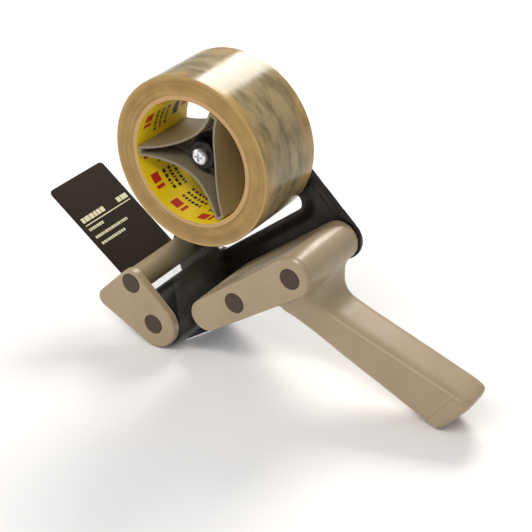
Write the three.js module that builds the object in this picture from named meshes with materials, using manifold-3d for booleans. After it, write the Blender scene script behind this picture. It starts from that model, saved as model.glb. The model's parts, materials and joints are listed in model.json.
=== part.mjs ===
// Hand-held dispenser for 2 inch box sealing tape.
// Millimetres, +Z up, +X towards the handle, +Y towards the frame plate.
// It stands as it is laid on a table: on its application roller and the heel of its handle.

import * as THREE from 'three';
import { mergeVertices } from 'three/addons/utils/BufferGeometryUtils.js';
import Module from 'manifold-3d';

const wasm = await Module();
wasm.setup();

// ---- Driving dimensions -------------------------------------------------------------------

const CLEARANCE = 0.3; // between pieces that touch or nearly touch
const SEGMENTS = 64; // sides of a large round piece
const SMALL_SEGMENTS = 18; // sides of a fastener

// Tape roll, as bought: a 2 inch tape on a 3 inch core
const TAPE_WIDTH = 50.8;
const CORE_BORE_RADIUS = 38.1;
const CORE_WALL = 3;
const ROLL_RADIUS = 53;
const TAPE_GAUGE = 0.4;
const STRIP_START_ANGLE = THREE.MathUtils.degToRad(-109.44); // where the tape leaves the roll
const STRIP_GAP = 1.08; // between the roll and the top of the free end
const STRIP_PAST_BLADE = 0.4;

// Widths, along Y from the middle of the tape
const NEAR_MARGIN = 4.6; // from the tape's near edge to the faces of the side cover and front plate
const FAR_MARGIN = 2.6; // from the tape's far edge to the frame plate
const FRAME_THICKNESS = 3;
const FRAME_RIM = 2; // height of the rims towards the tape
const COVER_THICKNESS = 3.5;
const PLATE_THICKNESS = 5.5;

// Axes in the side view, [x, z] from the axis of the reel
const PIVOT = [-44.3, -92.7]; // wiper pivot
const ROLLER = [-28.2, -117.0]; // application roller
const SCREW_FRONT = [32.8, -81.6]; // housing fastener near the nose
const SCREW_REAR = [71.2, -53.1]; // housing fastener at the rear
const NOSE = [11.5, -97.5]; // centre of the housing's nose

// Housing
const NOSE_RADIUS = 10.3;
const REAR_RADIUS = 12.3;
const HOUSING_WALL = 2.5;
const POST_RADIUS = 5;
const RIB_COUNT = 19;
const RIB_PITCH = 3.8;
const RIB_START = 4;
const RIB = { length: 1.3, width: 1.8, sunk: 0.8, height: 0.5 };

// Handle
const HANDLE_TOP_MARGIN = 0.4; // on each side of the handle's top, inside the tape's width
const HANDLE_WIDTH = 28;
const HANDLE_CENTRE_Y = -1;
const HANDLE_WALL = 2.8;
const CAP_THICKNESS = 2; // how far the cap's hollow reaches past its seam
const SPIGOT_DEPTH = 5;
const SPIGOT_WALL = 2;

// Front plate
const PIVOT_MARGIN = 2.2; // of plate round the pivot's plug
const ROLLER_SHOW = 1; // how far the roller stands out below the plate
const TOE = [-64.3, -110];
const TOE_RADIUS = 6.5;

// Frame plate
const HUB_LOBE = 23;
const REAR_LOBE = 13.5;
const WINDOW_CORNERS = [[38.2, -37.5], [22, -22.7], [-13, -35], [-17.3, -83.4]];
const WINDOW_RADIUS = 6;
const OUTER_RIM = 4.5;
const WINDOW_RIM = 3;
const RIMS_FROM_X = -20; // the rims start behind this
const HUB_BOSS_RADIUS = 17;

// Fasteners
const PLUG_RADIUS = 6.5;
const PLUG_THICKNESS = 1.2;
const RECESS_DEPTH = 1.5;
const SCREW_HEAD_RADIUS = 4;
const SCREW_RADIUS = 1.9;

// Roller and wiper
const ROLLER_RADIUS = 17;
const RUBBER_WALL = 3;
const AXLE_RADIUS = 5;
const ROD_RADIUS = 3;
const ROD_SCREW_RADIUS = 1.4;
const TUBE_RADIUS = 7.8;
const WIPER_LENGTH = 84.5;
const WIPER_GAUGE = 1.5;
const WIPER_CORNER = 3;
const WIPER_OFFSET = 6.1; // from the pivot axis to the middle of its thickness
const WIPER_START = -6; // its root, measured along it from the pivot axis
const WIPER_DIRECTION = THREE.MathUtils.degToRad(180 - 37); // forwards and up
const RIVET_NEAR_MARGIN = 4.1; // from the spring's pocket to the first rivet
const RIVET_FAR_MARGIN = 8.7; // from the last rivet to the far edge
const RIVET_S = 3.9;
const RIVET_RADIUS = 1;
const RIVET_DEPTH = 2;
const SPRING_ROOM = 1.6; // between the wiper rod and the wall of the spring's pocket
const SPRING_DEPTH = 11;

// Blade
const BLADE_AHEAD = 2.8; // from the roller's rear to the blade's teeth
const BLADE_GAUGE = 0.8;
const BLADE_LENGTH = 52;
const TOOTH_PITCH = 1.75;
const TOOTH_DEPTH = 1.6;
const BLADE_SCREW_S = 34; // from the teeth to the screws
const BLADE_SCREW_MARGIN = 11.4; // from the tape's edges to the screws

// Reel hub
const HUB_FIT = 0.8; // between the hub's tips and the core
const HUB_WALL_ARC = 63;
const HUB_WALL_CENTRE = 76.4; // from the reel axis to the centre of a wall's arc
const HUB_WALL = 1.7;
const HUB_FIRST_TIP = THREE.MathUtils.degToRad(63.3);
const HUB_LOBES = 3;
const HUB_SHORT = 1.4; // the hub stops this far short of the tape's far edge
const HUB_DISH = 11;
const HUB_WEB = 3;
const HUB_WEB_Y = -4; // front of the web that closes the star
const SLEEVE_WALL = 1.8;
const BUSH_WALL = 1.6;
const SPINDLE_RADIUS = 6;

// Brake
const CUP_RADIUS = 9;
const CUP_WALL = 1.4;
const BRAKE_SCREW_RADIUS = 2.8;
const BRAKE_SCREW_HEAD = 5.5;

// ---- Finishes ------------------------------------------------------------------------------

const finish = (color, roughness, metalness = 0) =>
  new THREE.MeshStandardMaterial({ color, roughness, metalness });
const TAUPE = finish(0xaa987d, 0.5);
const BROWN_GLOSS = finish(0x140f0d, 0.2);
const BROWN_SATIN = finish(0x32261e, 0.4);
const PLUG_BROWN = finish(0x5c4e44, 0.55);
const HUB_GREY = finish(0x6e645a, 0.5);
const BLACK = finish(0x151515, 0.5);
const RUBBER = finish(0x101010, 0.6);
const STEEL = finish(0xb8b8b8, 0.3, 1);
const AMBER = finish(0xc8a564, 0.3);
const CORE_YELLOW = finish(0xfae61e, 0.6);
const FELT = finish(0x2b2b2b, 0.95);
const BRONZE = finish(0xa0824b, 0.5, 1);

// ---- Geometry helpers ----------------------------------------------------------------------

// A closed geometry as a manifold solid
function solid(geometry) {
  const bare = geometry.clone();
  bare.deleteAttribute('normal');
  bare.deleteAttribute('uv');
  const merged = mergeVertices(bare, 1e-4);
  return new wasm.Manifold(new wasm.Mesh({
    numProp: 3,
    vertProperties: new Float32Array(merged.attributes.position.array),
    triVerts: new Uint32Array(merged.index.array),
  }));
}

// A manifold solid back as a geometry
function geometryOf(shape) {
  const mesh = shape.getMesh();
  const geometry = new THREE.BufferGeometry();
  geometry.setAttribute('position', new THREE.BufferAttribute(mesh.vertProperties, 3));
  geometry.setIndex(new THREE.BufferAttribute(mesh.triVerts, 1));
  geometry.computeVertexNormals();
  return geometry;
}

const join = (...shapes) => shapes.reduce((sum, next) => sum.add(next));
const cut = (shape, ...tools) => tools.reduce((left, tool) => left.subtract(tool), shape);

// A side-view shape given a width along Y, from yLow to yHigh
function prism(shape, yLow, yHigh, curveSegments = 8) {
  const geometry = new THREE.ExtrudeGeometry(shape, {
    depth: yHigh - yLow,
    bevelEnabled: false,
    curveSegments,
  });
  geometry.rotateX(Math.PI / 2);
  geometry.translate(0, yHigh, 0);
  return solid(geometry);
}

// A round piece about an axis along Y: profile points are [radius, y]
function turned(profile, [x, z] = [0, 0], segments = SMALL_SEGMENTS) {
  const points = profile.map(([radius, y]) => new THREE.Vector2(radius, y));
  const geometry = new THREE.LatheGeometry(points, segments);
  geometry.translate(x, 0, z);
  const shape = solid(geometry);
  return shape.volume() < 0 ? solid(flipped(geometry)) : shape;
}

function flipped(geometry) {
  const copy = geometry.clone();
  const index = copy.index.array;
  for (let i = 0; i < index.length; i += 3) {
    [index[i], index[i + 1]] = [index[i + 1], index[i]];
  }
  return copy;
}

const disc = (radius, yLow, yHigh, axis, segments) =>
  turned([[0, yLow], [radius, yLow], [radius, yHigh], [0, yHigh]], axis, segments);

const ring = (inner, outer, yLow, yHigh, axis, segments) =>
  turned([[inner, yLow], [outer, yLow], [outer, yHigh], [inner, yHigh], [inner, yLow]],
    axis, segments);

// The outline of a belt stretched round circles, given anticlockwise as [x, z, radius]
function belt(circles) {
  const shape = new THREE.Shape();
  const tangents = circles.map(([x, z, r], i) => {
    const [nx, nz, nr] = circles[(i + 1) % circles.length];
    const length = Math.hypot(nx - x, nz - z);
    return Math.atan2(nz - z, nx - x) - Math.PI / 2 - Math.asin((nr - r) / length);
  });
  circles.forEach(([x, z, r], i) => {
    const from = tangents[(i + circles.length - 1) % circles.length];
    const to = tangents[i];
    if (i === 0) {
      shape.moveTo(x + r * Math.cos(from), z + r * Math.sin(from));
    }
    shape.absarc(x, z, r, from, to < from ? to + 2 * Math.PI : to, false);
  });
  shape.closePath();
  return shape;
}

const grown = (circles, by) => circles.map(([x, z, r]) => [x, z, r + by]);

// A box in a frame that is turned about Y: s runs along the direction, n across it
function slantedBox([x, z], angle, s, y, n) {
  const geometry = new THREE.BoxGeometry(s[1] - s[0], y[1] - y[0], n[1] - n[0]);
  geometry.translate((s[0] + s[1]) / 2, (y[0] + y[1]) / 2, (n[0] + n[1]) / 2);
  geometry.rotateY(-angle);
  geometry.translate(x, 0, z);
  return solid(geometry);
}

// A point at distance s along a slanted direction and n across it
const along = ([x, z], angle, s, n = 0) => [
  x + s * Math.cos(angle) - n * Math.sin(angle),
  z + s * Math.sin(angle) + n * Math.cos(angle),
];

// A flat outline in (s, y) laid along a slanted direction, between two distances across it
function slantedPlate(shape, [x, z], angle, n) {
  const geometry = new THREE.ExtrudeGeometry(shape, {
    depth: n[1] - n[0],
    bevelEnabled: false,
    curveSegments: 6,
  });
  geometry.translate(0, 0, n[0]);
  geometry.rotateY(-angle);
  geometry.translate(x, 0, z);
  return solid(geometry);
}

// A round piece whose axis is square to a slanted direction: profile points are [radius, n]
function studded(profile, origin, angle, s, y) {
  const points = profile.map(([radius, n]) => new THREE.Vector2(radius, n));
  const geometry = new THREE.LatheGeometry(points, 16);
  geometry.rotateX(Math.PI / 2);
  geometry.rotateY(-angle);
  const [x, z] = along(origin, angle, s);
  geometry.translate(x, y, z);
  const shape = solid(geometry);
  return shape.volume() < 0 ? solid(flipped(geometry)) : shape;
}

// A coil about an axis along Y
function coil(radius, wire, turns, yLow, yHigh, axis) {
  class Helix extends THREE.Curve {
    getPoint(t, target = new THREE.Vector3()) {
      const a = t * turns * 2 * Math.PI;
      const y = yLow + wire + (yHigh - yLow - 2 * wire) * t;
      return target.set(axis[0] + radius * Math.cos(a), y, axis[1] + radius * Math.sin(a));
    }
  }
  const section = new THREE.Shape();
  section.absarc(0, 0, wire, 0, 2 * Math.PI, false);
  return solid(new THREE.ExtrudeGeometry(section, {
    steps: Math.round(turns * 12),
    extrudePath: new Helix(),
    curveSegments: 3,
    bevelEnabled: false,
  }));
}

// ---- Sizes that follow from the driving dimensions ------------------------------------------------

const COVER_FACE = -(TAPE_WIDTH / 2 + NEAR_MARGIN);
const FRAME_FACE = TAPE_WIDTH / 2 + FAR_MARGIN;
const PLATE_BACK = COVER_FACE + PLATE_THICKNESS;
const COVER_BACK = COVER_FACE + COVER_THICKNESS;
const FRAME_BACK = FRAME_FACE + FRAME_THICKNESS;
const BETWEEN_LOW = PLATE_BACK + CLEARANCE; // pieces between the front plate and the frame
const BETWEEN_HIGH = FRAME_FACE - CLEARANCE;
const TAPE_LOW = -TAPE_WIDTH / 2;
const TAPE_HIGH = TAPE_WIDTH / 2;
const GROUND = ROLLER[1] - ROLLER_RADIUS;
const ROLLER_LOBE = ROLLER_RADIUS - ROLLER_SHOW;
const PIVOT_LOBE = PLUG_RADIUS + PIVOT_MARGIN;
const HUB_TIP_RADIUS = CORE_BORE_RADIUS - HUB_FIT;
const STUD_RADIUS = SPINDLE_RADIUS - 2;

const HOUSING_OUTLINE = [[...NOSE, NOSE_RADIUS], [...SCREW_REAR, REAR_RADIUS]];
const assembly = new THREE.Group();

function place(name, shape, material) {
  const mesh = new THREE.Mesh(geometryOf(shape), material);
  mesh.name = name;
  assembly.add(mesh);
}

// ---- Handle and housing -----------------------------------------------------------------------

// Sections of the handle from the housing to its end: a front point, a back point and a width.
// The front line runs down to the heel and the back line to the tip of the end.
const HEEL = [161, GROUND];
const HANDLE_TOP_WIDTH = TAPE_WIDTH - 2 * HANDLE_TOP_MARGIN;
const HANDLE_SECTIONS = [
  { front: [58, -76], back: [78, -58], width: HANDLE_TOP_WIDTH },
  { front: [60, -84], back: [81, -66], width: HANDLE_TOP_WIDTH - 4 },
  { front: [64.5, -90.3], back: [84, -73], width: HANDLE_WIDTH + 8 },
  { front: [72, -93.7], back: [90, -77.7], width: HANDLE_WIDTH + 2 },
  { front: [84, -99.1], back: [100, -81], width: HANDLE_WIDTH },
  { front: [112, -111.8], back: [127, -89.8], width: HANDLE_WIDTH },
  { front: [148, -128.1], back: [165, -102.2], width: HANDLE_WIDTH },
  { front: [157, -132.2], back: [174.5, -105.4], width: HANDLE_WIDTH },
  { front: HEEL, back: [179, -107.6], width: HANDLE_WIDTH - 2 },
  { front: [166.5, -130.8], back: [180.6, -110.6], width: HANDLE_WIDTH - 5 },
  { front: [171, -125.5], back: [178.6, -116.4], width: HANDLE_WIDTH - 13 },
];
const CAP_SECTION = 7; // the cap starts just before this section

// A closed skin over rounded sections
function loft(sections, sides = 28, squareness = 3.4) {
  const positions = [];
  const index = [];
  const corner = (c) => Math.sign(c) * Math.abs(c) ** (2 / squareness);
  for (const { front, back, width } of sections) {
    for (let i = 0; i < sides; i += 1) {
      const angle = 2 * Math.PI * i / sides;
      const u = (1 + corner(Math.cos(angle))) / 2;
      const y = HANDLE_CENTRE_Y + corner(Math.sin(angle)) * width / 2;
      positions.push(front[0] + u * (back[0] - front[0]), y, front[1] + u * (back[1] - front[1]));
    }
  }
  for (let row = 0; row < sections.length - 1; row += 1) {
    for (let i = 0; i < sides; i += 1) {
      const a = row * sides + i;
      const b = row * sides + (i + 1) % sides;
      index.push(a, b, a + sides, b, b + sides, a + sides);
    }
  }
  const last = (sections.length - 1) * sides;
  for (let i = 1; i < sides - 1; i += 1) {
    index.push(0, i + 1, i, last, last + i, last + i + 1);
  }
  const geometry = new THREE.BufferGeometry();
  geometry.setAttribute('position', new THREE.Float32BufferAttribute(positions, 3));
  geometry.setIndex(index);
  const skin = solid(geometry);
  return skin.volume() < 0 ? solid(flipped(geometry)) : skin;
}

// The sections drawn in by a wall
function insetSections(wall) {
  return HANDLE_SECTIONS.map(({ front, back, width }) => {
    const depth = Math.hypot(back[0] - front[0], back[1] - front[1]);
    const shift = [(back[0] - front[0]) * wall / depth, (back[1] - front[1]) * wall / depth];
    return {
      front: [front[0] + shift[0], front[1] + shift[1]],
      back: [back[0] - shift[0], back[1] - shift[1]],
      width: width - 2 * wall,
    };
  });
}

const housingPrism = (by, yLow, yHigh) => prism(belt(grown(HOUSING_OUTLINE, by)), yLow, yHigh);
const HOUSING_LOW = COVER_BACK + CLEARANCE;
const POST_FACE = COVER_FACE + 7;
const post = (axis) => disc(POST_RADIUS, POST_FACE, BETWEEN_HIGH, axis);
const postBores = (axis) => join(
  disc(SCREW_RADIUS + CLEARANCE, POST_FACE - 1, POST_FACE + 16, axis),
  disc(SCREW_RADIUS + CLEARANCE, BETWEEN_HIGH - 14, BETWEEN_HIGH + 1, axis),
);

const lineAngle = (from, to) => Math.atan2(to[1] - from[1], to[0] - from[0]);

// The seam of the end cap lies along a section of the handle
const SEAM = HANDLE_SECTIONS[CAP_SECTION];
const SEAM_ANGLE = lineAngle(SEAM.front, SEAM.back) - Math.PI / 2;
const beyond = (s) => slantedBox(SEAM.front, SEAM_ANGLE, [s, s + 60], [-40, 40], [-60, 60]);

const AXIS_ANGLE = lineAngle(NOSE, SCREW_REAR);
const AXIS_LENGTH = Math.hypot(SCREW_REAR[0] - NOSE[0], SCREW_REAR[1] - NOSE[1]);
const TAPER = Math.asin((REAR_RADIUS - NOSE_RADIUS) / AXIS_LENGTH);
const TOP_ANGLE = AXIS_ANGLE + TAPER;
const UNDER_ANGLE = AXIS_ANGLE - TAPER;

// Small ribs on the housing's top edge, beside the seam of the side cover
function topRibs() {
  const start = along(NOSE, TOP_ANGLE, 0, NOSE_RADIUS);
  const ribs = [];
  const y = [HOUSING_LOW, HOUSING_LOW + RIB.width];
  for (let i = 0; i < RIB_COUNT; i += 1) {
    const s = RIB_START + i * RIB_PITCH;
    ribs.push(slantedBox(start, TOP_ANGLE, [s, s + RIB.length], y, [-RIB.sunk, RIB.height]));
  }
  return ribs;
}

const BLADE_SCREW_Y = [TAPE_LOW + BLADE_SCREW_MARGIN, TAPE_HIGH - BLADE_SCREW_MARGIN];
const UNDER_POINT = along(NOSE, UNDER_ANGLE, 0, -NOSE_RADIUS);
// The blade lies flat under the housing and reaches forwards to just behind the tape
const BLADE_ANGLE = UNDER_ANGLE;
const BLADE_LINE = along(UNDER_POINT, UNDER_ANGLE, 0, -CLEARANCE - BLADE_GAUGE / 2);
const BLADE_TIP_X = ROLLER[0] + ROLLER_RADIUS + BLADE_AHEAD;
const BLADE_TIP = along(BLADE_LINE, BLADE_ANGLE, (BLADE_TIP_X - BLADE_LINE[0]) / Math.cos(BLADE_ANGLE));

// The hollow runs on through the end at its full size, so that the cap can plug it
function handleHollow(wall) {
  const straight = insetSections(wall).slice(2, CAP_SECTION + 1);
  const { front, back, width } = straight[straight.length - 1];
  const run = [20 * Math.cos(SEAM_ANGLE), 20 * Math.sin(SEAM_ANGLE)];
  const reach = {
    front: [front[0] + run[0], front[1] + run[1]],
    back: [back[0] + run[0], back[1] + run[1]],
    width,
  };
  return loft([...straight, reach]);
}

const handleOuter = loft(HANDLE_SECTIONS);
const housingShell = cut(
  join(housingPrism(0, HOUSING_LOW, BETWEEN_HIGH), ...topRibs()),
  housingPrism(-HOUSING_WALL, HOUSING_LOW - 1, BETWEEN_HIGH - HOUSING_WALL),
);
const handleShell = cut(
  handleOuter,
  handleHollow(HANDLE_WALL),
  housingPrism(-HOUSING_WALL / 2, -40, 40),
  beyond(0),
);
const bladeScrewHoles = BLADE_SCREW_Y.map((y) => studded(
  [[0, -8], [1.8, -8], [1.8, 8], [0, 8]], BLADE_TIP, BLADE_ANGLE, BLADE_SCREW_S, y));

place('handle_housing', cut(
  join(
    housingShell,
    post(SCREW_FRONT),
    post(SCREW_REAR),
    handleShell,
  ),
  postBores(SCREW_FRONT),
  postBores(SCREW_REAR),
  ...bladeScrewHoles,
), TAUPE);

const capPlate = handleOuter.intersect(beyond(CLEARANCE));
const capSpigot = cut(
  handleHollow(HANDLE_WALL + CLEARANCE).intersect(beyond(-SPIGOT_DEPTH)),
  handleHollow(HANDLE_WALL + CLEARANCE + SPIGOT_WALL),
  beyond(CLEARANCE + 1),
);
const capHollow = cut(handleHollow(HANDLE_WALL + CLEARANCE + SPIGOT_WALL), beyond(CAP_THICKNESS));
place('handle_end_cap', cut(join(capPlate, capSpigot), capHollow), TAUPE);

// ---- Side cover, front plate, and their fasteners ---------------------------------------------------

const BOSS_RADIUS = 6;
const COUNTERBORE_DEPTH = 4.5;
const PLUG_AXES = {
  pivot: PIVOT,
  roller: ROLLER,
  cover_front: SCREW_FRONT,
  cover_rear: SCREW_REAR,
};

const plugRecess = (axis) => join(
  disc(PLUG_RADIUS + CLEARANCE, COVER_FACE - 1, COVER_FACE + RECESS_DEPTH, axis, 32),
  disc(SCREW_HEAD_RADIUS + CLEARANCE, COVER_FACE, COVER_FACE + COUNTERBORE_DEPTH, axis),
  disc(SCREW_RADIUS + CLEARANCE, COVER_FACE, COVER_FACE + 20, axis),
);

const coverBoss = (axis) => disc(BOSS_RADIUS, COVER_BACK - 1, POST_FACE - CLEARANCE, axis);
place('housing_side_cover', cut(
  join(housingPrism(0, COVER_FACE, COVER_BACK), coverBoss(SCREW_FRONT), coverBoss(SCREW_REAR)),
  plugRecess(SCREW_FRONT),
  plugRecess(SCREW_REAR),
), TAUPE);

const PLATE_OUTLINE = [[...TOE, TOE_RADIUS], [...ROLLER, ROLLER_LOBE], [...PIVOT, PIVOT_LOBE]];
place('front_side_plate', cut(
  prism(belt(PLATE_OUTLINE), COVER_FACE, PLATE_BACK),
  plugRecess(PIVOT),
  plugRecess(ROLLER),
), TAUPE);

for (const [label, axis] of Object.entries(PLUG_AXES)) {
  const plugBack = COVER_FACE + RECESS_DEPTH - CLEARANCE;
  const plug = disc(PLUG_RADIUS, plugBack - PLUG_THICKNESS, plugBack, axis, 32);
  place(`plug_${label}`, plug, PLUG_BROWN);
}

// The two bars of a cross recess in a face at y
function crossSlot([x, z], y, length, width, depth) {
  return [[length, width], [width, length]].map(([wide, high]) => {
    const bar = new THREE.BoxGeometry(wide, 2 * depth, high);
    bar.translate(x, y, z);
    return solid(bar);
  });
}

// A pan screw along Y; its head lies outside the seat, on the side that the sign gives
function panScrew(axis, seat, side, length, radius = SCREW_RADIUS) {
  const low = side < 0 ? seat - CLEARANCE : seat + CLEARANCE;
  const head = 2.4 * side;
  const profile = [
    [0, low + head],
    [SCREW_HEAD_RADIUS, low + head],
    [SCREW_HEAD_RADIUS, low],
    [radius, low],
    [radius, low - side * length],
    [0, low - side * length],
  ];
  return cut(turned(profile, axis), ...crossSlot(axis, low + head, 5, 1, 1));
}

const HEAD_SEAT = COVER_FACE + COUNTERBORE_DEPTH;
place('cover_screw_front', panScrew(SCREW_FRONT, HEAD_SEAT, -1, 15), STEEL);
place('cover_screw_rear', panScrew(SCREW_REAR, HEAD_SEAT, -1, 15), STEEL);
place('rod_screw_near', panScrew(PIVOT, HEAD_SEAT, -1, 11, ROD_SCREW_RADIUS), STEEL);
place('axle_screw_near', panScrew(ROLLER, HEAD_SEAT, -1, 11), STEEL);
place('rod_screw_far', panScrew(PIVOT, FRAME_BACK, 1, 13, ROD_SCREW_RADIUS), STEEL);
place('axle_screw_far', panScrew(ROLLER, FRAME_BACK, 1, 13), STEEL);
place('frame_screw_front', panScrew(SCREW_FRONT, FRAME_BACK, 1, 14), STEEL);
place('frame_screw_rear', panScrew(SCREW_REAR, FRAME_BACK, 1, 14), STEEL);

// ---- Frame plate ---------------------------------------------------------------------------------

const FRAME_OUTLINE = [
  [...PIVOT, PIVOT_LOBE + 1.3],
  [ROLLER[0], ROLLER[1] + 2, ROLLER_LOBE + 2],
  [...SCREW_REAR, REAR_LOBE],
  [0, 0, HUB_LOBE],
];
const WINDOW = WINDOW_CORNERS.map(([x, z]) => [x, z, WINDOW_RADIUS]);
const WINDOW_LOOP = [WINDOW[3], WINDOW[0], WINDOW[1], WINDOW[2]];
const RIM_FACE = FRAME_FACE - FRAME_RIM;

function framePlate() {
  const base = prism(belt(FRAME_OUTLINE), FRAME_FACE, FRAME_BACK);
  const raised = prism(belt(FRAME_OUTLINE), RIM_FACE, FRAME_FACE + 1);
  const channel = cut(
    prism(belt(grown(FRAME_OUTLINE, -OUTER_RIM)), RIM_FACE - 1, FRAME_FACE),
    prism(belt(grown(WINDOW_LOOP, WINDOW_RIM)), RIM_FACE - 2, FRAME_FACE + 2),
  );
  const ahead = slantedBox([RIMS_FROM_X, 0], 0, [-80, 0], [0, FRAME_FACE], [-160, -40]);
  const rims = cut(raised, channel, housingPrism(1, 0, FRAME_FACE), ahead);
  const below = slantedBox(NOSE, UNDER_ANGLE, [-60, 140], [0, FRAME_FACE], [-60, 4]);
  const holes = [PIVOT, ROLLER, SCREW_FRONT, SCREW_REAR].map((axis) =>
    disc(SCREW_RADIUS + CLEARANCE, RIM_FACE - 1, FRAME_BACK + 1, axis));
  return cut(
    join(base, cut(rims, below), disc(HUB_BOSS_RADIUS, RIM_FACE, FRAME_FACE + 1, [0, 0], 32)),
    prism(belt(WINDOW_LOOP), RIM_FACE - 1, FRAME_BACK + 1),
    disc(STUD_RADIUS + CLEARANCE, RIM_FACE - 1, FRAME_BACK + 1, [0, 0], 32),
    ...holes,
  );
}

place('frame_plate', framePlate(), BROWN_GLOSS);

// ---- Reel spindle, hub and brake ---------------------------------------------------------------------

const HUB_LOW = TAPE_LOW;
const HUB_HIGH = TAPE_HIGH - HUB_SHORT;
const FLANGE_BACK = RIM_FACE - CLEARANCE;
const FLANGE_FRONT = HUB_HIGH + CLEARANCE;
const WEB_BACK = HUB_WEB_Y + HUB_WEB;
const SPINDLE_TIP = -9.5;
const SHOULDER = HUB_WEB_Y + 1;

place('hub_spindle', cut(
  turned([
    [0, SPINDLE_TIP], [STUD_RADIUS, SPINDLE_TIP], [STUD_RADIUS, SHOULDER],
    [SPINDLE_RADIUS, SHOULDER], [SPINDLE_RADIUS, FLANGE_FRONT], [14, FLANGE_FRONT],
    [14, FLANGE_BACK], [STUD_RADIUS, FLANGE_BACK], [STUD_RADIUS, FRAME_BACK + 6.5],
    [0, FRAME_BACK + 6.5],
  ], [0, 0], 32),
  disc(BRAKE_SCREW_RADIUS + CLEARANCE, SPINDLE_TIP - 1, SPINDLE_TIP + 11, [0, 0], 32),
), STEEL);
place('spindle_washer',
  ring(STUD_RADIUS + CLEARANCE, 8, FRAME_BACK + CLEARANCE, FRAME_BACK + 1.3, [0, 0], 32), STEEL);
place('spindle_nut', cut(
  disc(7.5, FRAME_BACK + 1.6, FRAME_BACK + 5.6, [0, 0], 6),
  disc(STUD_RADIUS + CLEARANCE, FRAME_BACK, FRAME_BACK + 8, [0, 0], 32),
), STEEL);

// The star's outline: arcs that bulge towards the axis, between blunt tips
function starOutline(inset) {
  const arc = HUB_WALL_ARC + inset;
  const tip = HUB_TIP_RADIUS - inset;
  const cosine = (tip ** 2 + HUB_WALL_CENTRE ** 2 - arc ** 2) / (2 * tip * HUB_WALL_CENTRE);
  const halfGap = Math.acos(cosine);
  const shape = new THREE.Shape();
  for (let i = 0; i < HUB_LOBES; i += 1) {
    const middle = HUB_FIRST_TIP + (i + 0.5) * 2 * Math.PI / HUB_LOBES;
    const centre = [HUB_WALL_CENTRE * Math.cos(middle), HUB_WALL_CENTRE * Math.sin(middle)];
    const angleTo = (sign) => Math.atan2(
      tip * Math.sin(middle + sign * halfGap) - centre[1],
      tip * Math.cos(middle + sign * halfGap) - centre[0],
    );
    let from = angleTo(-1);
    const to = angleTo(1);
    if (from < to) {
      from += 2 * Math.PI;
    }
    if (i === 0) {
      shape.moveTo(centre[0] + arc * Math.cos(from), centre[1] + arc * Math.sin(from));
    }
    shape.absarc(centre[0], centre[1], arc, from, to, true);
    const tipFrom = middle + halfGap;
    const tipTo = middle - halfGap + 2 * Math.PI / HUB_LOBES;
    shape.absarc(0, 0, tip, tipFrom, tipTo, false);
  }
  shape.closePath();
  return shape;
}

const BUSH_RADIUS = SPINDLE_RADIUS + CLEARANCE + BUSH_WALL;
const SLEEVE_RADIUS = BUSH_RADIUS + CLEARANCE + SLEEVE_WALL;
place('reel_hub', cut(
  join(
    cut(
      prism(starOutline(0), HUB_LOW, HUB_HIGH),
      prism(starOutline(HUB_WALL), HUB_LOW - 1, HUB_WEB_Y),
      prism(starOutline(HUB_WALL), WEB_BACK, HUB_HIGH + 1),
    ),
    disc(SLEEVE_RADIUS, WEB_BACK - 1, HUB_HIGH, [0, 0], 32),
  ),
  turned([[0, HUB_LOW - 1], [HUB_TIP_RADIUS + 2, HUB_LOW - 1], [HUB_TIP_RADIUS, HUB_LOW],
    [0, HUB_LOW + HUB_DISH]], [0, 0], SEGMENTS),
  disc(BUSH_RADIUS + CLEARANCE, HUB_WEB_Y - 1, HUB_HIGH + 1, [0, 0], 32),
), HUB_GREY);
place('hub_bushing',
  ring(SPINDLE_RADIUS + CLEARANCE, BUSH_RADIUS, HUB_WEB_Y, HUB_HIGH, [0, 0], 32), BRONZE);

const BRAKE_FACE = HUB_WEB_Y - CLEARANCE;
const BRAKE_FRONT = BRAKE_FACE - 1.5;
const CUP_FRONT = -13.6;
place('brake_washer', ring(STUD_RADIUS + CLEARANCE, 11, BRAKE_FRONT, BRAKE_FACE, [0, 0], 32), FELT);
place('tension_spring',
  coil(6.3, 0.5, 2.6, CUP_FRONT + CUP_WALL + CLEARANCE, BRAKE_FRONT - CLEARANCE, [0, 0]), STEEL);
const CUP_BACK = CUP_FRONT + 5.2;
const CUP_BORE = BRAKE_SCREW_RADIUS + CLEARANCE;
place('pressure_cup', turned([
  [CUP_BORE, CUP_FRONT], [CUP_RADIUS - 1, CUP_FRONT], [CUP_RADIUS, CUP_FRONT + 1],
  [CUP_RADIUS, CUP_BACK], [CUP_RADIUS - CUP_WALL, CUP_BACK],
  [CUP_RADIUS - CUP_WALL, CUP_FRONT + CUP_WALL], [CUP_BORE, CUP_FRONT + CUP_WALL],
  [CUP_BORE, CUP_FRONT],
], [0, 0], 32), BLACK);

function tensionScrew() {
  const under = CUP_FRONT - CLEARANCE;
  const body = turned([
    [0, under - 3.2], [3.6, under - 3.2], [4.8, under - 2.6], [BRAKE_SCREW_HEAD, under - 1.4],
    [BRAKE_SCREW_HEAD, under], [BRAKE_SCREW_RADIUS, under], [BRAKE_SCREW_RADIUS, under + 11],
    [0, under + 11],
  ], [0, 0], 32);
  return cut(body, ...crossSlot([0, 0], under - 3.2, 5.6, 1.2, 2));
}

place('tension_screw', tensionScrew(), STEEL);

// ---- Tape ----------------------------------------------------------------------------------------

const CORE_RADIUS = CORE_BORE_RADIUS + CORE_WALL;
place('tape_core',
  ring(CORE_BORE_RADIUS, CORE_RADIUS, TAPE_LOW, TAPE_HIGH, [0, 0], SEGMENTS), CORE_YELLOW);
place('tape_roll',
  ring(CORE_RADIUS + CLEARANCE, ROLL_RADIUS, TAPE_LOW, TAPE_HIGH, [0, 0], SEGMENTS), AMBER);

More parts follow.
